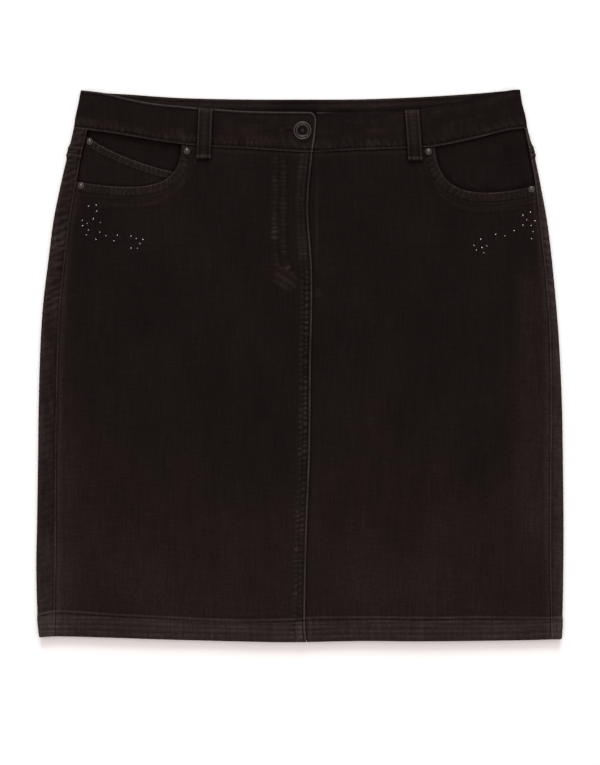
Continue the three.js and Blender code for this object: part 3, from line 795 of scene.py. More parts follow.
def cloth(name, outer, inner, look):
    """A closed wall of cloth between two grids of points, which stands for the solid of its name."""
    rows, columns = outer.shape[:2]
    faces = np.concatenate([
        grid_faces(rows, columns),
        grid_faces(rows, columns, rows * columns, flip=True),
        rim_faces(rows, columns),
    ])
    points = np.concatenate([outer.reshape(-1, 3), inner.reshape(-1, 3)])
    piece = mesh_object(name + "_cloth", points, faces.tolist(), MATERIALS["denim"])
    # Per point: how much wear and painted highlight lighten the colour, and how much painted shade darkens
    # it.
    fields = {"wear": np.clip(look.wear, 0, MOST_WEAR_AND_HIGHLIGHT), "shade": np.clip(look.shade, 0, MOST_SHADE)}
    for field, values in fields.items():
        attribute = piece.data.attributes.new(field, "FLOAT", "POINT")
        attribute.data.foreach_set("value", np.tile(values.ravel(), 2).astype(np.float32))
    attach(piece, "root")
    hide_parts(name)
    return piece


EDGE_LINES = [0, 0.3, 0.7, 1.2, 1.9, 2.8]


def graded(length, step, first=EDGE_LINES, last=EDGE_LINES):
    """Places from 0 to a length, close together at its ends and evenly a step apart between."""
    first = np.array(first, float)
    last = length - np.array(last[::-1], float)
    count = max(1, round((last[0] - first[-1]) / step))
    middle = np.linspace(first[-1], last[0], count + 1)[1:-1]
    return np.r_[first, middle, last]


SETTLING_PASSES = 6


def settled(column, row, start):
    """Where a column and a row that bend with each other cross."""
    y = start
    for _ in range(SETTLING_PASSES):
        y = row(column(y))
    return column(y), y


def front_piece(name, x, y, look, depth, thickness):
    """A wall on the front, `depth` under its outer face."""
    top = front_height(x, y) - depth
    outer = np.stack([x, y, top + look.height], -1)
    inner = np.stack([x, y, top - thickness], -1)
    return cloth(name, outer, inner, look)


def even_line(line, shares):
    """The places at given shares of a line's length."""
    along = np.r_[0, np.cumsum(np.hypot(*np.diff(line, axis=0).T))]
    at = shares * along[-1]
    return np.stack([np.interp(at, along, line[:, 0]), np.interp(at, along, line[:, 1])], 1)


def patch(bottom, top, left, right, s, t):
    """A grid stretched between four lines: bottom and top at the shares s, left and right at the shares t."""
    s = s[None, :, None]
    t = t[:, None, None]
    across = (1 - t) * bottom[None] + t * top[None]
    along = (1 - s) * left[:, None] + s * right[:, None]
    low = (1 - s) * bottom[0] + s * bottom[-1]
    high = (1 - s) * top[0] + s * top[-1]
    return across + along - (1 - t) * low - t * high


# Front pieces. A grid's lines lie this far in from its edges and then a step apart. Its width, length,
# foot or middle here is only near the piece's own: it sets how many lines there are or where they settle.

PANEL_WIDTH = 250
PANEL_FOOT = -250.0
PANEL_STEP_ACROSS = 2.1
PANEL_STEP_ALONG = 1.8
HEM_ZONE = [*EDGE_LINES, 4, 5.5, 7, 8.5, 10, 11.5, 13, 14.5, 16, 17.5, 18.8, 20, 20.8, 21.6, 22.4, 23.2, 24]
HEM_ZONE += [24.8, 25.8, 27, 29, 31]
CENTRE_LINES = [*EDGE_LINES, 3.6, 4.4, 5.2, 6, 7, 8, 9, 10, 11, 12, 13.5, 15]
POCKET_LINES = [*EDGE_LINES, 3.8, 5, 6.3, 7.5, 8.7, 10, 11.5, 13]
CURVE_POINTS = 200
WAIST_POINTS = 80
LAP_SHOWS_FROM = 1
UNDERLAP_SHARES = np.array([0, 0.25, 0.5, 0.75, 0.9])
UNDERLAP_TOP_EASE = (150, 213)
FACING_WIDTH = 110
FACING_LENGTH = 60
FACING_MIDDLE = 200.0
FACING_STEP = 3.0
COIN_STEP = 1.6
COIN_MOST_RISE = 0.2


def panel_grid(left_line, right_line, top_line, first, last):
    """The places of a front panel: rows along the hem, then a patch up to the pocket and the waist seam."""
    s = graded(PANEL_WIDTH, PANEL_STEP_ACROSS, first, last) / PANEL_WIDTH

    def column(y):
        return lerp(left_line(y), right_line(y), s)

    start = np.full(s.shape, PANEL_FOOT)
    low = [settled(column, lambda x, up=up: hem_edge(x) + up, start) for up in HEM_ZONE]
    hem_x = np.array([x for x, _ in low])
    hem_y = np.array([y for _, y in low])
    top = even_line(top_line, s)
    bottom = np.stack([hem_x[-1], hem_y[-1]], 1)
    length = top[-1, 1] - bottom[-1, 1]
    t = graded(length, PANEL_STEP_ALONG, [0], POCKET_LINES) / length
    left_y = lerp(bottom[0, 1], top[0, 1], t)
    right_y = lerp(bottom[-1, 1], top[-1, 1], t)
    left = np.stack([left_line(left_y), left_y], 1)
    right = np.stack([right_line(right_y), right_y], 1)
    above = patch(bottom, top, left, right, s, t)[1:]
    return np.vstack([hem_x, above[..., 0]]), np.vstack([hem_y, above[..., 1]])


def top_line_of(pocket, centre_x):
    """A panel's upper edge: the pocket curve from the side seam, then the waist seam to the centre."""
    pocket = pocket[pocket[:, 1] < panel_top(pocket[:, 0])]
    waist_x = np.linspace(pocket[0, 0], centre_x, WAIST_POINTS)
    waist = np.stack([waist_x, panel_top(waist_x)], 1)
    return np.vstack([pocket[::-1], waist])


def front_right():
    pocket = curve(RIGHT_POCKET_CURVE, CURVE_POINTS)
    pocket = pocket[pocket[:, 0] > right_front_edge(pocket[:, 1])]
    line = top_line_of(pocket, CENTRE_EDGE["x"][0])
    x, y = panel_grid(right_front_edge, centre_edge, line, EDGE_LINES, CENTRE_LINES)
    return front_piece("front_right", x, y, front_right_look(x, y), 0, panel_thickness(x, y))


def front_left():
    """The left front, whose underlap goes on under the right one above the hem."""

    def shown_edge(y):
        return centre_edge(y) + LAP_SHOWS_FROM

    pocket = curve(LEFT_POCKET_CURVE, CURVE_POINTS)
    pocket = pocket[pocket[:, 0] < left_front_edge(pocket[:, 1])]
    line = top_line_of(pocket, CENTRE_EDGE["x"][0] + LAP_SHOWS_FROM)[::-1]
    x, y = panel_grid(shown_edge, left_front_edge, line, CENTRE_LINES, EDGE_LINES)
    edge_x = x[:, :1]
    edge_y = y[:, :1]
    hem_top = hem_edge(0) + HEM_DEPTH
    lapped = smoothstep(edge_y, hem_top + HEM_STEP, hem_top + LAP_STARTS_ABOVE_HEM)
    underlap = centre_edge(edge_y) + lerp(SEAM_GAP, -PANEL_UNDERLAP, lapped)
    lap_x = lerp(underlap, edge_x, UNDERLAP_SHARES)
    lap_y = edge_y + (panel_top(lap_x) - panel_top(edge_x)) * smoothstep(edge_y, *UNDERLAP_TOP_EASE)
    x = np.hstack([lap_x, x])
    y = np.hstack([lap_y, y])
    look = front_left_look(x, y)
    look.height = look.height * smoothstep(x - centre_edge(y), 0.5, 2.5)
    return front_piece("front_left", x, y, look, panel_lap_dip(x, y), panel_thickness(x, y))


def tucked_top(x):
    """The upper edge of a facing, a little way under the waistband."""
    return panel_top(x) + FACING_TUCK


def facing_grid(left_line, right_line, bottom, top, step=FACING_STEP):
    s = graded(FACING_WIDTH, step) / FACING_WIDTH
    t = graded(FACING_LENGTH, step) / FACING_LENGTH

    def column(y):
        return lerp(left_line(y), right_line(y), s)

    start = np.full(s.shape, FACING_MIDDLE)
    rows = [settled(column, lambda x, v=v: lerp(bottom, top(x), v), start) for v in t]
    return np.array([x for x, _ in rows]), np.array([y for _, y in rows])


def facing_look(x, y, edge_line, inward):
    """A facing: shaded close to the pocket's edge over it and beside its seams, and nowhere proud."""
    look = Look(x.shape)
    away, _, _ = beside(edge_line, x, y)
    look.add(shade=0.08 + 0.25 * (1 - smoothstep(away, 0, 8)))
    look.line(away, 2.0, shade=0.35)
    look.add(height=0.1 * mottled(x / 15, y / 15, 71), wear=0.01 + 0.015 * mottled(x / 8, y / 12, 72))
    below = panel_top(x) - y
    look.add(height=-rolled(below, 0.5, 2) - rolled(inward, 0.6, 2))
    look.line(below, 1.4, shade=0.2)
    look.line(inward, 1.3, shade=0.3)
    look.line(inward - 4, 2, wear=0.04)
    look.height = np.minimum(look.height, 0)
    return look


def facing_right():
    inner_x = RIGHT_POCKET_CURVE[0][0] + FACING_BEYOND_OPENING
    bottom = RIGHT_POCKET_LOW - FACING_BEYOND_OPENING
    x, y = facing_grid(right_front_edge, lambda y: inner_x + 0 * y, bottom, tucked_top)
    look = facing_look(x, y, RIGHT_POCKET_LINE, x - right_front_edge(y))
    away, _, _ = beside(COIN_LINE, x, y)
    look.line(away, 1.6, shade=0.55)
    return front_piece("pocket_facing_right", x, y, look, RIGHT_FACING_DEPTH, DENIM)


def facing_left():
    inner_x = LEFT_POCKET_CURVE[0][0] - FACING_BEYOND_OPENING
    bottom = LEFT_POCKET_LOW - FACING_BEYOND_OPENING
    x, y = facing_grid(lambda y: inner_x + 0 * y, left_front_edge, bottom, tucked_top)
    look = facing_look(x, y, LEFT_POCKET_LINE, left_front_edge(y) - x)
    return front_piece("pocket_facing_left", x, y, look, LEFT_FACING_DEPTH, DENIM)


def coin_pocket_look(x, y):
    """The coin pocket, with two sewn rows along its top and the shadow of the pocket's edge over it."""
    look = Look(x.shape)
    away, _, along = beside(COIN_LINE, x, y)
    look.add(height=-rolled(away, 0.7, 1.6), wear=0.015)
    look.line(away - 0.5, 0.8, wear=0.3)
    for row, distance in enumerate(COIN_ROWS):
        sewn_row(look, away - distance, along, 75 + row, 0.35)
    ticks = puckers(along, 4.6, 78)
    look.line(away - 4, 2.6, wear=0.22 * ticks)
    look.line(away - 4, 2.8, height=0.15 * ticks)
    look.line(away - 8, 1.0, shade=0.5)
    look.line(away - 6.6, 0.8, wear=0.15)
    away, _, _ = beside(RIGHT_POCKET_LINE, x, y)
    look.line(away, 2.0, shade=0.6)
    inward = x - right_front_edge(y)
    look.add(height=-rolled(inward, 0.6, 2))
    look.line(inward, 1.3, shade=0.5)
    return look


def coin_pocket():
    line = curve(COIN_CURVE, CURVE_POINTS)
    inner_x = COIN_CURVE[-1][0]

    def top(x):
        return np.interp(x, line[:, 0], line[:, 1])

    x, y = facing_grid(right_front_edge, lambda y: inner_x + 0 * y, COIN_POCKET_BOTTOM, top, COIN_STEP)
    look = coin_pocket_look(x, y)
    look.height = np.minimum(look.height, COIN_MOST_RISE)
    return front_piece("coin_pocket", x, y, look, COIN_DEPTH, COIN_WALL)


# Cloth that goes round a side fold. Widths, depths and lengths here only set how many lines a grid has.
# The waistband's lines lie at these distances to the left (+) and right (-) of its end.

FOLD_CELLS = 16
FOLD_SHOWS = (0.3, 0.8)
BACK_HALF = 220
BACK_FLOOR_STEP = 9
STRIP_WIDTH = 12
STRIP_STEP = 1.2
YOKE_DEPTH = 25
YOKE_STEP = 1.6
BACK_LENGTH = 470
BACK_STEP = 2.0
BAND_STEP = 1.5
BAND_FLOOR_STEP = 4
BAND_LEFT_HALF = 205
BAND_RIGHT_HALF = 220
BAND_BACK = 440
BAND_UNDERLAP_LINES = [-BAND_UNDERLAP, -26, -17, -8, 0]
BAND_PAST_END_LINES = [0.5, 1, 1.6, 2.4, 3.4, 4.6, 6, 8, 10, 12, 14]
BAND_EVEN_FROM = 16
BAND_END_EVEN_TO = -15
BAND_END_LINES = [*range(-14, -3), -3.2, -2.5, -1.9, -1.4, -0.9, -0.5, -0.2, 0]


def fold_radius(proud):
    return (FOLD_HEIGHT + proud) / 2


def fold_axis(side, proud):
    return lambda y: SIDE_FOLDS[side](y) - side * fold_radius(proud)


class Column:
    """One column of a sheet: its rows, its places at each height, and how far its look shows there.

    Its places are x and z of the outer face, x and z of the inner face, and x and z of the way outward.
    """

    def __init__(self, rows, place, shown):
        self.rows = rows
        self.place = place
        self.shown = shown


def floor_column(line, rows, thickness):
    def place(y):
        x = line(y)
        zero = 0 * y
        return x, zero, x, zero + thickness(x, y), zero, zero - 1

    return Column(rows, place, 0)


def front_column(line, rows, depth, thickness):
    def place(y):
        x = line(y)
        z = front_height(x, y) - depth(x, y)
        return x, z, x, z - thickness(x, y), 0 * y, 0 * y + 1

    return Column(rows, place, 1)


def fold_columns(side, proud, floor_rows, front_rows, thickness):
    """Columns round a side fold, from floor to front."""
    radius = fold_radius(proud)
    columns = []
    for i in range(FOLD_CELLS + 1):
        share = i / FOLD_CELLS
        turn = share * math.pi

        def place(y, turn=turn):
            axis_x = fold_axis(side, proud)(y)
            out_x = side * math.sin(turn) + 0 * y
            out_z = -math.cos(turn) + 0 * y
            inner = radius - thickness(axis_x, y)
            return (
                axis_x + radius * out_x,
                radius + radius * out_z,
                axis_x + inner * out_x,
                radius + inner * out_z,
                out_x,
                out_z,
            )

        rows = front_rows if share > 0.5 else floor_rows
        columns.append(Column(rows, place, float(smoothstep(share, *FOLD_SHOWS))))
    return columns


def wrapped_piece(name, columns, look_of):
    """A sheet of columns, raised along its outward direction by its look where it shows."""
    outer, inner, outward, shown = [], [], [], []
    for column in columns:
        y = np.zeros(column.rows(np.zeros(1)).shape)
        for _ in range(SETTLING_PASSES):
            y = column.rows(column.place(y)[0])
        x, z, inner_x, inner_z, out_x, out_z = column.place(y)
        outer.append(np.stack([x, y, z], -1))
        inner.append(np.stack([inner_x, y, inner_z], -1))
        outward.append(np.stack([out_x, 0 * y, out_z], -1))
        shown.append(0 * y + column.shown)
    outer = np.stack(outer, 1)
    inner = np.stack(inner, 1)
    outward = np.stack(outward, 1)
    shown = np.stack(shown, 1)
    look = look_of(outer[..., 0], outer[..., 1])
    outer = outer + outward * (look.height * shown)[..., None]
    return cloth(name, outer, inner, look)


def rows_between(bottom, top, shares):
    return lambda x: lerp(bottom(x), top(x), shares)


def back_columns(side, floor_rows, front_rows, thickness):
    """One half of the back: from the centre seam, along the floor, round the fold and up to the side seam."""
    axis = fold_axis(side, 0)

    def seam(y):
        return SIDE_SEAMS[side](y) + side * HALF_GAP

    floor_shares = graded(BACK_HALF, BACK_FLOOR_STEP, EDGE_LINES, [0]) / BACK_HALF
    strip_shares = graded(STRIP_WIDTH, STRIP_STEP, [0], EDGE_LINES) / STRIP_WIDTH
    columns = [
        floor_column(lambda y, f=f: lerp(side * HALF_GAP, axis(y), f), floor_rows, thickness)
        for f in floor_shares[:-1]
    ]
    columns += fold_columns(side, 0, floor_rows, front_rows, thickness)
    columns += [
        front_column(lambda y, f=f: lerp(axis(y), seam(y), f), front_rows, lambda x, y: 0, thickness)
        for f in strip_shares[1:]
    ]
    return columns if side < 0 else columns[::-1]


def yoke(name, side):
    shares = graded(YOKE_DEPTH, YOKE_STEP) / YOKE_DEPTH

    def bottom(x):
        return yoke_rise(np.abs(x)) + HALF_GAP

    columns = back_columns(
        side,
        rows_between(bottom, lambda x: back_seam(x) - HALF_GAP, shares),
        rows_between(bottom, panel_top, shares),
        lambda x, y: DENIM + 0 * y,
    )
    return wrapped_piece(name, columns, lambda x, y: strip_look(x, y, side))


def back_panel(name, side):
    """A back panel: rows along the hem, then rows at even shares up to the yoke."""
    length = BACK_LENGTH - HEM_ZONE[-1]
    above = graded(length, BACK_STEP, [0], EDGE_LINES)[1:] / length
    over_edge = np.r_[HEM_ZONE, np.full(len(above), HEM_ZONE[-1])]
    shares = np.r_[np.zeros(len(HEM_ZONE)), above]

    def rows(edge):
        def heights(x):
            low = edge(x) + over_edge
            top = yoke_rise(np.abs(x)) - HALF_GAP
            return lerp(low, top, shares)

        return heights

    columns = back_columns(side, rows(back_hem_edge), rows(hem_edge), panel_thickness)
    return wrapped_piece(name, columns, lambda x, y: strip_look(x, y, side))


def waistband():
    """One long piece, from the underlap over the left front, round the floor and back to its rounded end."""
    shares = graded(WAISTBAND_DEPTH, BAND_STEP) / WAISTBAND_DEPTH
    proud = WAISTBAND_PROUD

    def thickness(x, y):
        return WAISTBAND_WALL + 0 * y

    def above_seam(seam):
        return lambda x: seam(x) + HALF_GAP

    def beside_end(distance):
        return lambda y: band_end(y) + distance

    def lines_between(first, last, step, width):
        return [lambda y, f=f: lerp(first(y), last(y), f) for f in np.linspace(0, 1, round(width / step) + 1)]

    def front_columns(lines, rows, depth):
        return [front_column(line, rows, depth, thickness) for line in lines]

    front_rows = rows_between(above_seam(front_seam), front_top, shares)
    end_rows = rows_between(above_seam(front_seam), lambda x: front_top(x) - corner_drop(x), shares)
    floor_rows = rows_between(above_seam(back_seam), back_top, shares)
    left_axis = fold_axis(1, proud)
    right_axis = fold_axis(-1, proud)

    left_lines = [beside_end(distance) for distance in BAND_UNDERLAP_LINES + BAND_PAST_END_LINES]
    left_lines += lines_between(beside_end(BAND_EVEN_FROM), left_axis, BAND_STEP, BAND_LEFT_HALF)[:-1]
    floor_lines = lines_between(left_axis, right_axis, BAND_FLOOR_STEP, BAND_BACK)[1:-1]
    right_lines = lines_between(right_axis, beside_end(BAND_END_EVEN_TO), BAND_STEP, BAND_RIGHT_HALF)[1:]
    right_lines += [beside_end(distance) for distance in BAND_END_LINES]

    columns = front_columns(left_lines, front_rows, lambda x, y: band_lap_dip(x, y) - proud)
    columns += fold_columns(1, proud, floor_rows, front_rows, thickness)[::-1]
    columns += [floor_column(line, floor_rows, thickness) for line in floor_lines]
    columns += fold_columns(-1, proud, floor_rows, front_rows, thickness)
    columns += front_columns(right_lines, end_rows, lambda x, y: -proud)
    on_floor = np.array([column.shown == 0 for column in columns])[None, :]
    on_right_half = np.arange(len(columns))[None, :] > len(columns) / 2
    under = len(BAND_UNDERLAP_LINES)

    def look_of(x, y):
        look = band_look(x, y)
        inside = band_inside_look(x, y)
        end = band_end_look(x, y)
        for field in ("height", "wear", "shade"):
            front = getattr(look, field) + getattr(end, field) * on_right_half
            setattr(look, field, np.where(on_floor, getattr(inside, field), front))
        look.height[:, :under] = np.minimum(look.height[:, :under], 0)
        look.add(shade=0.3 * (1 - smoothstep(x - band_end(y), 0.5, 2.4)) * ~on_right_half)
        return look

    return wrapped_piece("waistband", columns, look_of)


# Belt loops

LOOP_STEP = 1.2


def loop_look(y, from_side, from_foot, from_top):
    """A belt loop: sewn sides, a worn rib up its middle, and a bar across its foot and its top."""
    look = Look(y.shape)
    look.add(height=-rolled(from_side, 0.8, 1.6) - rolled(from_top, 0.6, 1.6) - rolled(from_foot, 0.6, 1.4))
    look.add(wear=0.03)
    look.line(from_side - 0.8, 0.8, wear=0.24)
    look.line(from_side - 2.6, 0.9, height=-0.25, shade=0.4)
    ribs = 0.4 + 0.6 * puckers(y, 5, 81)
    look.line(from_side - 6, 2.2, height=0.2 * ribs, wear=0.1 * ribs)
    look.line(from_foot - 2.2, 1.3, height=0.25, wear=0.2)
    look.line(from_foot - 5.2, 1.2, shade=0.3)
    look.line(from_top - 2.0, 1.2, wear=0.22)
    return look


def belt_loop(name, foot_x, top_x):
    foot_y, top_y = loop_ends(foot_x, top_x)
    length = math.hypot(top_x - foot_x, top_y - foot_y)
    across = graded(LOOP_WIDTH, LOOP_STEP)[None, :] - LOOP_WIDTH / 2
    share = graded(length, LOOP_STEP)[:, None] / length
    x = lerp(foot_x, top_x, share) + across
    y = lerp(foot_y, top_y, share) + 0 * x
    from_foot = share * length + 0 * x
    look = loop_look(y, LOOP_WIDTH / 2 - np.abs(across) + 0 * y, from_foot, length - from_foot)
    bottom = front_height(x, y) + loop_clear(share)
    outer = np.stack([x, y, bottom + LOOP_WALL + look.height], -1)
    inner = np.stack([x, y, bottom], -1)
    return cloth(name, outer, inner, look)


# Threads

STITCH_SIDES = 6
STITCH_RINGS = table("along size", (-0.5, 0.35), (-0.36, 0.9), (0, 1), (0.36, 0.9), (0.5, 0.35))
LINE_POINTS = 80


def round_faces(rings, sides):
    """The faces round some rings of points and over both ends, whose two middle points follow the rings."""
    at = np.arange(rings * sides).reshape(rings, sides)
    following = np.roll(at, -1, axis=1)
    walls = np.stack([at[:-1], following[:-1], following[1:], at[1:]], -1).reshape(-1, 4)
    start = np.stack([following[0], at[0], 0 * at[0] + rings * sides], -1)
    end = np.stack([at[-1], following[-1], 0 * at[0] + rings * sides + 1], -1)
    return walls.tolist() + start.tolist() + end.tolist()


def stitch_form():
    """One stitch along X: a short rounded thread, thin at its ends."""
    turn = np.arange(STITCH_SIDES) / STITCH_SIDES * 2 * math.pi
    across = np.cos(turn) * STITCH_WIDTH / 2
    up = np.sin(turn) * STITCH_RISE
    rings = [
        np.stack([along * STITCH_LENGTH + 0 * turn, size * across, size * up], 1)
        for along, size in rows_of(STITCH_RINGS)
    ]
    ends = [[-STITCH_LENGTH / 2, 0, 0], [STITCH_LENGTH / 2, 0, 0]]
    return np.vstack([*rings, ends]), round_faces(len(rings), STITCH_SIDES)


def stitch_ends(line, height_at):
    """The two ends of each stitch in a row along a line, on the cloth."""
    length = np.hypot(*np.diff(line, axis=0).T).sum()
    count = max(2, round(length / STITCH_PITCH))
    shares = (np.arange(count) + 0.5) / count
    half = STITCH_LENGTH / 2 / length
    ends = [even_line(line, np.clip(shares + offset, 0, 1)) for offset in (-half, half)]
    return [np.column_stack([end, height_at(end[:, 0], end[:, 1])]) for end in ends]


def sew(name, rows):
    """All the stitches of some rows as one mesh. A row is a line and the height of the cloth under it."""
    form, form_faces = stitch_form()
    points = []
    faces = []
    for line, height_at in rows:
        for a, b in zip(*stitch_ends(line, height_at)):
            forward = (b - a) / np.linalg.norm(b - a)
            sideways = np.cross([0, 0, 1], forward)
            sideways /= np.linalg.norm(sideways)
            upward = np.cross(forward, sideways)
            start = len(points) * len(form)
            points.append((a + b) / 2 + form @ np.array([forward, sideways, upward]))
            faces += [[start + k for k in face] for face in form_faces]
    piece = mesh_object(name, np.concatenate(points), faces, MATERIALS["thread"])
    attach(piece, "root")


def on_front(look_of, depth=lambda x, y: 0):
    """The height of the stitches on a front piece, by its look and its depth."""
    return lambda x, y: front_height(x, y) - depth(x, y) + look_of(x, y).height + STITCH_PROUD


def on_band(x, y):
    return front_height(x, y) + WAISTBAND_PROUD + band_look(x, y).height + STITCH_PROUD


def on_band_left(x, y):
    return on_band(x, y) - band_lap_dip(x, y)


def offset_line(line, distance):
    """A line beside another one. Left of it is positive."""
    direction = np.gradient(line, axis=0)
    direction /= np.hypot(*direction.T)[:, None]
    return line + distance * np.stack([-direction[:, 1], direction[:, 0]], 1)


def upright(x_of, first, last):
    """A line up or down the cloth, from one height to another."""
    y = np.linspace(first, last, LINE_POINTS)
    return np.stack([x_of(y), y], 1)


def level(y_of, first, last, count=LINE_POINTS):
    """A line across the cloth, from one side to the other."""
    x = np.linspace(first, last, count)
    return np.stack([x, y_of(x)], 1)


def front_stitches():
    right = on_front(front_right_look)
    left = on_front(front_left_look, panel_lap_dip)
    rows = []
    for distance in CENTRE_ROWS:
        rows.append((upright(lambda y: centre_edge(y) - distance, *CENTRE_SEWN), right))
    for offset in FLY_ROWS:
        rows.append((offset_line(FLY_LINE, -offset)[1:-2], right))
    for distance in POCKET_ROWS:
        line = offset_line(RIGHT_POCKET_LINE, distance)
        shown = (line[:, 1] < POCKET_SEWN_TO[0]) & (line[:, 0] > right_seam(line[:, 1]) + 1)
        rows.append((line[shown], right))
        line = offset_line(LEFT_POCKET_LINE, -distance)
        shown = (line[:, 1] < POCKET_SEWN_TO[1]) & (line[:, 0] < left_seam(line[:, 1]) - 1)
        rows.append((line[shown], left))
    for (first, last), height in zip(HEM_SEWN, (right, left)):
        rows.append((level(lambda x: hem_stitch(x) - HEM_ROW_BELOW_SEAM, first, last), height))
    sew("stitches_front", rows)


def pocket_stitches():
    coin = on_front(coin_pocket_look, lambda x, y: COIN_DEPTH)
    rows = []
    for distance in COIN_ROWS:
        line = offset_line(COIN_LINE, -distance)
        shown = (line[:, 0] > right_seam(line[:, 1]) + 2) & (line[:, 0] < COIN_SEWN_TO)
        rows.append((line[shown], coin))
    sew("stitches_coin_pocket", rows)


def band_stitches():
    rows = []
    for (first, last), height in zip(BAND_SEWN, (on_band, on_band_left)):
        rows.append((level(lambda x: front_seam(x) + BAND_ROW, first, last), height))
        rows.append((level(lambda x: front_top(x) - BAND_ROW - 0.6, first, last), height))
    rows.append((upright(lambda y: band_end(y) - BAND_END_ROW, *BAND_END_SEWN), on_band))
    sew("stitches_waistband", rows)


def strip_stitches():
    rows = []
    for side in (-1, 1):
        height = on_front(lambda x, y, side=side: strip_look(x, y, side))
        for bar in YOKE_BARS:
            middle = yoke_rise(YOKE_SEAM["from_centre"][-1]) + bar
            first = float(SIDE_SEAMS[side](middle)) + side * 1.5
            last = float(SIDE_FOLDS[side](middle)) - side * 2.5
            if abs(last - first) > STITCH_PITCH:
                rows.append((level(lambda x: yoke_rise(np.abs(x)) + bar, first, last, 12), height))
    sew("stitches_yoke", rows)


def loop_stitches():
    rows = []
    for foot_x, top_x in BELT_LOOPS.values():
        foot_y, top_y = loop_ends(foot_x, top_x)

        def on_loop(x, y, foot_y=foot_y, top_y=top_y):
            share = (y - foot_y) / (top_y - foot_y)
            return front_height(x, y) + loop_clear(share) + LOOP_WALL - LOOP_STITCH_DEPTH

        for offset in LOOP_ROWS:
            line = np.array([(foot_x + offset, foot_y + 1.5), (top_x + offset, top_y - 1.5)])
            rows.append((even_line(line, np.linspace(0, 1, 30)), on_loop))
        for up in LOOP_FOOT_ROWS:
            ends = [(foot_x + half, foot_y + up) for half in (-LOOP_FOOT_ROW_HALF, LOOP_FOOT_ROW_HALF)]
            rows.append((np.array(ends), on_loop))
    sew("stitches_belt_loops", rows)


# Metal and stones

SHARP_EDGE = math.radians(38)
RIVET_SIDES = 40
BUTTON_SIDES = 96

RIVET_PROFILE = [
    (0, 0), (0.96, 0), (1.0, 0.1), (1.0, 0.38), (0.96, 0.5), (0.9, 0.55), (0.8, 0.5), (0.74, 0.42),
    (0.7, 0.45), (0.66, 0.8), (0.6, 1.15), (0.5, 1.42), (0.36, 1.62), (0.18, 1.75), (0, 1.8),
]
BUTTON_PROFILE = [
    (0, -2.5), (0.24, -2.5), (0.24, 0), (0.8, 0), (0.92, 0.4), (0.99, 1.0), (1.0, 1.6), (0.985, 2.1),
    (0.95, 2.42), (0.91, 2.5), (0.87, 2.4), (0.84, 2.1), (0.81, 1.85), (0.78, 1.85), (0.75, 2.05),
    (0.71, 2.2), (0.66, 2.2), (0.61, 2.05), (0.56, 1.7), (0.52, 1.35), (0.47, 1.2), (0.26, 1.2),
    (0.2, 1.25), (0.15, 1.45), (0.1, 1.6), (0.05, 1.68), (0, 1.7),
]
STONE_SIDES = 8
STONE_TIERS = table("radius height twist", (1.0, 0, 0), (1.0, 0.3, 0), (0.86, 0.62, 0.5), (0.55, 0.88, 0))


def turned(name, profile, size, sides, place, node, material):
    """A turned piece standing along Z, which stands for a solid. Its profile is for a radius of 1."""
    turn = np.arange(sides) / sides * 2 * math.pi
    rings = [
        np.stack([radius * size * np.cos(turn), radius * size * np.sin(turn), height + 0 * turn], 1)
        for radius, height in profile[1:-1]
    ]
    ends = [[0, 0, profile[0][1]], [0, 0, profile[-1][1]]]
    points = np.vstack([*rings, ends]) + place
    piece = mesh_object(name, points, round_faces(len(rings), sides), MATERIALS[material])
    piece.data.set_sharp_from_angle(angle=SHARP_EDGE)
    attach(piece, "root")
    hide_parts(node)


def rivets():
    for name, (x, y, depth) in RIVETS.items():
        place = (x, y, float(front_height(x, y)) - depth + SEAM_GAP)
        turned(name + "_stud", RIVET_PROFILE, RIVET_RADIUS, RIVET_SIDES, place, name, "rivet_metal")


def button():
    place = (*BUTTON, float(front_height(*BUTTON)) + WAISTBAND_PROUD + SEAM_GAP)
    turned("button_cap", BUTTON_PROFILE, BUTTON_RADIUS, BUTTON_SIDES, place, "button", "button_metal")


def stone_places():
    """A loose scatter in each cluster, no two stones closer than their spacing."""
    random = np.random.default_rng(7)
    places = []
    for x, y, half_width, half_length, count in rows_of(STONE_CLUSTERS):
        found = []
        while len(found) < count:
            u, v = random.uniform(-1, 1, 2)
            place = (x + u * half_width, y + v * half_length)
            apart = all(math.dist(place, other) > STONE_SPACING for other in found)
            if u * u + v * v < 1 and apart:
                found.append(place)
        places += found
    return places


def stones():
    """Small round stones with a flat table and two tiers of facets, joined as one mesh."""
    random = np.random.default_rng(9)
    points = []
    faces = []
    at = np.arange(len(STONE_TIERS["radius"]) * STONE_SIDES).reshape(-1, STONE_SIDES)
    following = np.roll(at, -1, axis=1)
    halves = [[at[:-1], following[:-1], at[1:]], [following[:-1], following[1:], at[1:]]]
    facets = [facet for half in halves for facet in np.stack(half, -1).reshape(-1, 3).tolist()]
    facets += [at[-1].tolist(), at[0, ::-1].tolist()]
    for x, y in stone_places():
        look_of = front_right_look if x < 0 else front_left_look
        z = float(front_height(x, y) + look_of(np.array([x]), np.array([y])).height[0])
        size = STONE_RADIUS * random.uniform(0.85, 1.1)
        spin = random.uniform(0, math.pi)
        lean_x, lean_y = random.uniform(-0.12, 0.12, 2)
        start = len(points)
        for radius, height, twist in rows_of(STONE_TIERS):
            for k in range(STONE_SIDES):
                angle = spin + (k + twist) / STONE_SIDES * 2 * math.pi
                out_x = radius * size * math.cos(angle)
                out_y = radius * size * math.sin(angle)
                points.append((x + out_x, y + out_y, z + height * size + lean_x * out_x + lean_y * out_y))
        faces += [[start + k for k in facet] for facet in facets]
    piece = mesh_object("stones", points, faces, MATERIALS["crystal"], smooth=False)
    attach(piece, "root")


# Materials


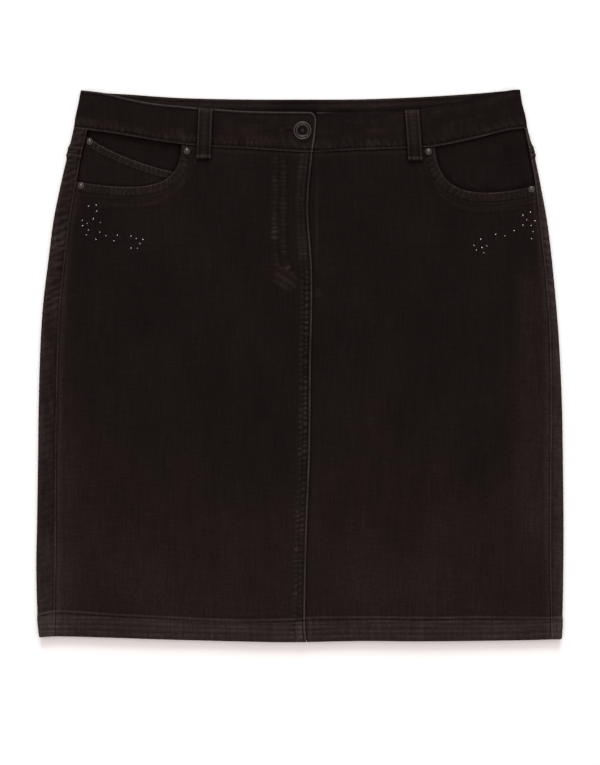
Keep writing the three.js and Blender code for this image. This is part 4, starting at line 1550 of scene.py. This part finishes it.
class Shader:
    """A material's node tree, with short calls to add and join nodes."""

    def __init__(self, name):
        self.material = bpy.data.materials.new(name)
        self.material.use_nodes = True
        self.tree = self.material.node_tree
        self.surface = self.tree.nodes["Principled BSDF"]

    def add(self, kind, inputs=None, **settings):
        node = self.tree.nodes.new(kind)
        for key, value in settings.items():
            setattr(node, key, value)
        for key, value in (inputs or {}).items():
            self.put(node.inputs[key], value)
        return node

    def put(self, socket, value):
        if isinstance(value, bpy.types.NodeSocket):
            self.tree.links.new(value, socket)
        else:
            socket.default_value = value

    def set(self, **values):
        for key, value in values.items():
            self.put(self.surface.inputs[key.replace("_", " ")], value)

    def math(self, operation, a, b, c=0.0):
        node = self.add("ShaderNodeMath", operation=operation)
        for socket, value in zip(node.inputs, (a, b, c)):
            self.put(socket, value)
        return node.outputs[0]

    def places(self, scale, turn=0.0):
        """Object coordinates in millimetres, scaled along each axis and turned about Z."""
        coordinates = self.add("ShaderNodeTexCoord").outputs["Object"]
        mapping = self.add("ShaderNodeMapping", {"Vector": coordinates, "Rotation": (0, 0, turn)})
        mapping.inputs["Scale"].default_value = tuple(1000 * s for s in scale)
        return mapping.outputs[0]

    def noise(self, scale, detail):
        node = self.add("ShaderNodeTexNoise", {"Vector": self.places(scale), "Scale": 1.0, "Detail": detail})
        return node.outputs["Fac"]

    def field(self, name):
        return self.add("ShaderNodeAttribute", attribute_name=name).outputs["Fac"]

    def mix(self, amount, a, b, blend="MIX"):
        node = self.add("ShaderNodeMix", data_type="RGBA", blend_type=blend)
        self.put(node.inputs[0], amount)
        self.put(node.inputs[6], a)
        self.put(node.inputs[7], b)
        return node.outputs[2]

    def grey(self, value):
        node = self.add("ShaderNodeCombineColor")
        for socket in node.inputs:
            self.put(socket, value)
        return node.outputs[0]


TWILL_PITCH = 0.9
TWILL_TURN = math.radians(63)
DENIM_COLOR = (0.0076, 0.0048, 0.0046, 1)
# The paler colours that wear and painted highlight lighten the denim towards.
WORN_AND_HIGHLIGHT_COLOR = (0.058, 0.0385, 0.0353, 1)
RUBBED_AND_HIGHLIGHT_COLOR = (0.0535, 0.0465, 0.0452, 1)
RIVET_COLORS = ((0.014, 0.013, 0.012, 1), (0.15, 0.128, 0.118, 1))
BUTTON_COLORS = ((0.006, 0.005, 0.0048, 1), (0.085, 0.07, 0.065, 1))
BRIGHT_ABOVE = 0.56


def denim_material():
    """Washed black twill: a fine diagonal, uneven warp threads, soft clouding, ridges and edges lightened by
    wear and painted highlight, and painted shade.
    """
    shader = Shader("denim")
    twill = shader.add("ShaderNodeTexWave", {
        "Vector": shader.places((1, 1, 1), TWILL_TURN),
        "Scale": 2 * math.pi / 20 / TWILL_PITCH,
        "Distortion": 1.2,
        "Detail": 1.0,
        "Detail Scale": 2.0,
    }).outputs["Fac"]
    warp = shader.noise((0.9, 0.035, 0.035), 3.0)
    weft = shader.noise((0.05, 0.9, 0.9), 3.0)
    cloud = shader.noise((0.018, 0.012, 0.02), 3.0)
    grain = shader.noise((0.6, 0.6, 0.6), 3.0)
    tone = shader.math("MULTIPLY_ADD", warp, 0.86, 0.57)
    tone = shader.math("MULTIPLY", tone, shader.math("MULTIPLY_ADD", weft, 0.6, 0.7))
    tone = shader.math("MULTIPLY", tone, shader.math("MULTIPLY_ADD", cloud, 0.7, 0.65))
    tone = shader.math("MULTIPLY", tone, shader.math("MULTIPLY_ADD", grain, 0.7, 0.65))
    tone = shader.math("MULTIPLY", tone, shader.math("MULTIPLY_ADD", twill, 0.24, 0.88))
    # How far wear and painted highlight lighten the denim towards the worn colours.
    wear = shader.math("MULTIPLY", shader.field("wear"), shader.math("MULTIPLY_ADD", grain, 0.8, 0.6))
    color = shader.mix(wear, DENIM_COLOR, WORN_AND_HIGHLIGHT_COLOR)
    color = shader.mix(shader.math("MULTIPLY", wear, wear), color, RUBBED_AND_HIGHLIGHT_COLOR)
    color = shader.mix(1.0, color, shader.grey(tone), "MULTIPLY")
    # Painted shade: darkens the colour in grooves, beside edges and under overlapping cloth.
    lit = shader.math("SUBTRACT", 1.0, shader.field("shade"))
    color = shader.mix(1.0, color, shader.grey(lit), "MULTIPLY")
    weave = shader.math("MULTIPLY_ADD", twill, 0.6, shader.math("MULTIPLY", grain, 0.8))
    weave = shader.math("MULTIPLY_ADD", warp, 0.5, weave)
    bump = shader.add("ShaderNodeBump", {"Height": weave, "Strength": 0.5, "Distance": 0.00018})
    shader.set(Base_Color=color, Roughness=0.92, Normal=bump.outputs[0], Specular_IOR_Level=0.03)
    return shader.material


def thread_material():
    """Waxed black thread with a fine twist."""
    shader = Shader("thread")
    twist = shader.noise((1.6, 1.6, 1.6), 1.0)
    color = shader.mix(twist, (0.006, 0.004, 0.0038, 1), (0.018, 0.013, 0.012, 1))
    bump = shader.add("ShaderNodeBump", {"Height": twist, "Strength": 0.5, "Distance": 0.0001})
    shader.set(Base_Color=color, Roughness=0.7, Normal=bump.outputs[0], Specular_IOR_Level=0.08)
    return shader.material


def zip_material():
    shader = Shader("zip_tape")
    weave = shader.noise((2.4, 0.7, 1.0), 2.0)
    color = shader.mix(weave, (0.006, 0.005, 0.005, 1), (0.014, 0.012, 0.012, 1))
    bump = shader.add("ShaderNodeBump", {"Height": weave, "Strength": 0.4, "Distance": 0.0001})
    shader.set(Base_Color=color, Roughness=0.8, Normal=bump.outputs[0])
    return shader.material


def metal_material(name, dark, bright, roughness, dark_below):
    """Cast metal, lighter where it stands proud, as rubbed metal with a painted highlight, and darker in its
    grooves.
    """
    shader = Shader(name)
    rubbed = shader.noise((0.7, 0.7, 0.7), 3.0)
    # Lighter where the surface is convex, as rubbed metal with a painted highlight, and darker in hollows.
    edge = shader.add("ShaderNodeNewGeometry").outputs["Pointiness"]
    reach = {"Value": edge, "From Min": dark_below, "From Max": BRIGHT_ABOVE}
    proud = shader.add("ShaderNodeMapRange", reach).outputs[0]
    amount = shader.math("MULTIPLY", proud, shader.math("MULTIPLY_ADD", rubbed, 0.6, 0.7))
    color = shader.mix(amount, dark, bright)
    bump = shader.add("ShaderNodeBump", {"Height": rubbed, "Strength": 0.25, "Distance": 0.00015})
    shader.set(Base_Color=color, Metallic=0.95, Normal=bump.outputs[0])
    shader.set(Roughness=shader.math("MULTIPLY_ADD", rubbed, 0.15, roughness))
    return shader.material


def crystal_material():
    shader = Shader("crystal")
    shade = shader.noise((0.5, 0.5, 0.5), 1.0)
    color = shader.mix(shade, (0.1, 0.1, 0.11, 1), (0.42, 0.42, 0.44, 1))
    shader.set(Base_Color=color, Metallic=0.85, Roughness=0.06)
    return shader.material


def floor_material():
    """Smooth pale paper."""
    shader = Shader("floor")
    fibres = shader.noise((0.02, 0.02, 0.02), 2.0)
    color = shader.mix(fibres, (0.9, 0.9, 0.9, 1), (0.92, 0.92, 0.92, 1))
    shader.set(Base_Color=color, Roughness=0.9, Specular_IOR_Level=0.0)
    return shader.material


# Scene

CAMERA_AIM = (0.1, -16.7)
CAMERA_HEIGHT = 1806
LENS = 85
SUN_ELEVATION = math.radians(20)
SUN_SPREAD = math.radians(32)
SKY_COLOR = (1.0, 0.91, 0.89, 1)
SKY_STRENGTH = 0.94
SUN_COLOR = (0.9, 1.0, 1.0)
SUN_STRENGTH = 3.4
FLOOR_HALF = 60000
FLOOR_HEIGHT = -0.2
FARTHEST_SEEN = 200


def camera():
    data = bpy.data.cameras.new("camera")
    data.lens = LENS
    data.clip_end = FARTHEST_SEEN
    thing = bpy.data.objects.new("camera", data)
    thing.location = (CAMERA_AIM[0] * MM, CAMERA_AIM[1] * MM, CAMERA_HEIGHT * MM)
    COLLECTION.objects.link(thing)
    bpy.context.scene.camera = thing


def lights():
    sun = bpy.data.lights.new("low_sun", "SUN")
    sun.energy = SUN_STRENGTH
    sun.color = SUN_COLOR
    sun.angle = SUN_SPREAD
    thing = bpy.data.objects.new("low_sun", sun)
    thing.rotation_euler = (SUN_ELEVATION - math.pi / 2, 0, 0)
    COLLECTION.objects.link(thing)
    world = bpy.data.worlds.new("soft_room")
    world.use_nodes = True
    background = world.node_tree.nodes["Background"]
    background.inputs["Color"].default_value = SKY_COLOR
    background.inputs["Strength"].default_value = SKY_STRENGTH
    bpy.context.scene.world = world


def floor():
    signs = ((-1, -1), (1, -1), (1, 1), (-1, 1))
    corners = [(x * FLOOR_HALF, y * FLOOR_HALF, FLOOR_HEIGHT) for x, y in signs]
    thing = mesh_object("floor", corners, [(0, 1, 2, 3)], floor_material())


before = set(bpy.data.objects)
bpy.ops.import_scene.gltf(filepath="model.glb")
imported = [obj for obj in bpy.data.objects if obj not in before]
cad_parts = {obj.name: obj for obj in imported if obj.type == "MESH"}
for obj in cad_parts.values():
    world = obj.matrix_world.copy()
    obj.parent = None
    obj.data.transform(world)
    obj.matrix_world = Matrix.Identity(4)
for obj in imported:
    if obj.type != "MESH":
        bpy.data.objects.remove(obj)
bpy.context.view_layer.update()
MATERIALS = {
    "denim": denim_material(),
    "thread": thread_material(),
    "rivet_metal": metal_material("rivet_metal", *RIVET_COLORS, roughness=0.3, dark_below=0.475),
    "button_metal": metal_material("button_metal", *BUTTON_COLORS, roughness=0.38, dark_below=0.49),
    "crystal": crystal_material(),
}

camera()

# Each cloth piece, the width and length to which its shown part is cut, and its flat area, in metres
pieces = {
    "front_right": (front_right(), 0.256, 0.489, 0.1186),
    "front_left": (front_left(), 0.262, 0.489, 0.1182),
    "pocket_facing_right": (facing_right(), 0.126, 0.073, 0.0078),
    "pocket_facing_left": (facing_left(), 0.122, 0.079, 0.0081),
    "coin_pocket": (coin_pocket(), 0.112, 0.062, 0.0042),
    "yoke_right": (yoke("yoke_right", -1), 0.262, 0.056, 0.0076),
    "yoke_left": (yoke("yoke_left", 1), 0.262, 0.056, 0.0076),
    "back_right": (back_panel("back_right", -1), 0.29, 0.488, 0.131),
    "back_left": (back_panel("back_left", 1), 0.29, 0.488, 0.1285),
    "waistband": (waistband(), 0.95, 0.045, 0.0378),
}
for name, (foot_x, top_x) in BELT_LOOPS.items():
    pieces[name] = (belt_loop(name, foot_x, top_x), 0.014, 0.06, 0.0008)

front_stitches()
pocket_stitches()
band_stitches()
strip_stitches()
loop_stitches()
rivets()
button()
stones()

zip_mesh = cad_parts["zip"].data
zip_mesh.materials.clear()
zip_mesh.materials.append(zip_material())

floor()
lights()
bpy.context.scene.view_settings.view_transform = "Standard"
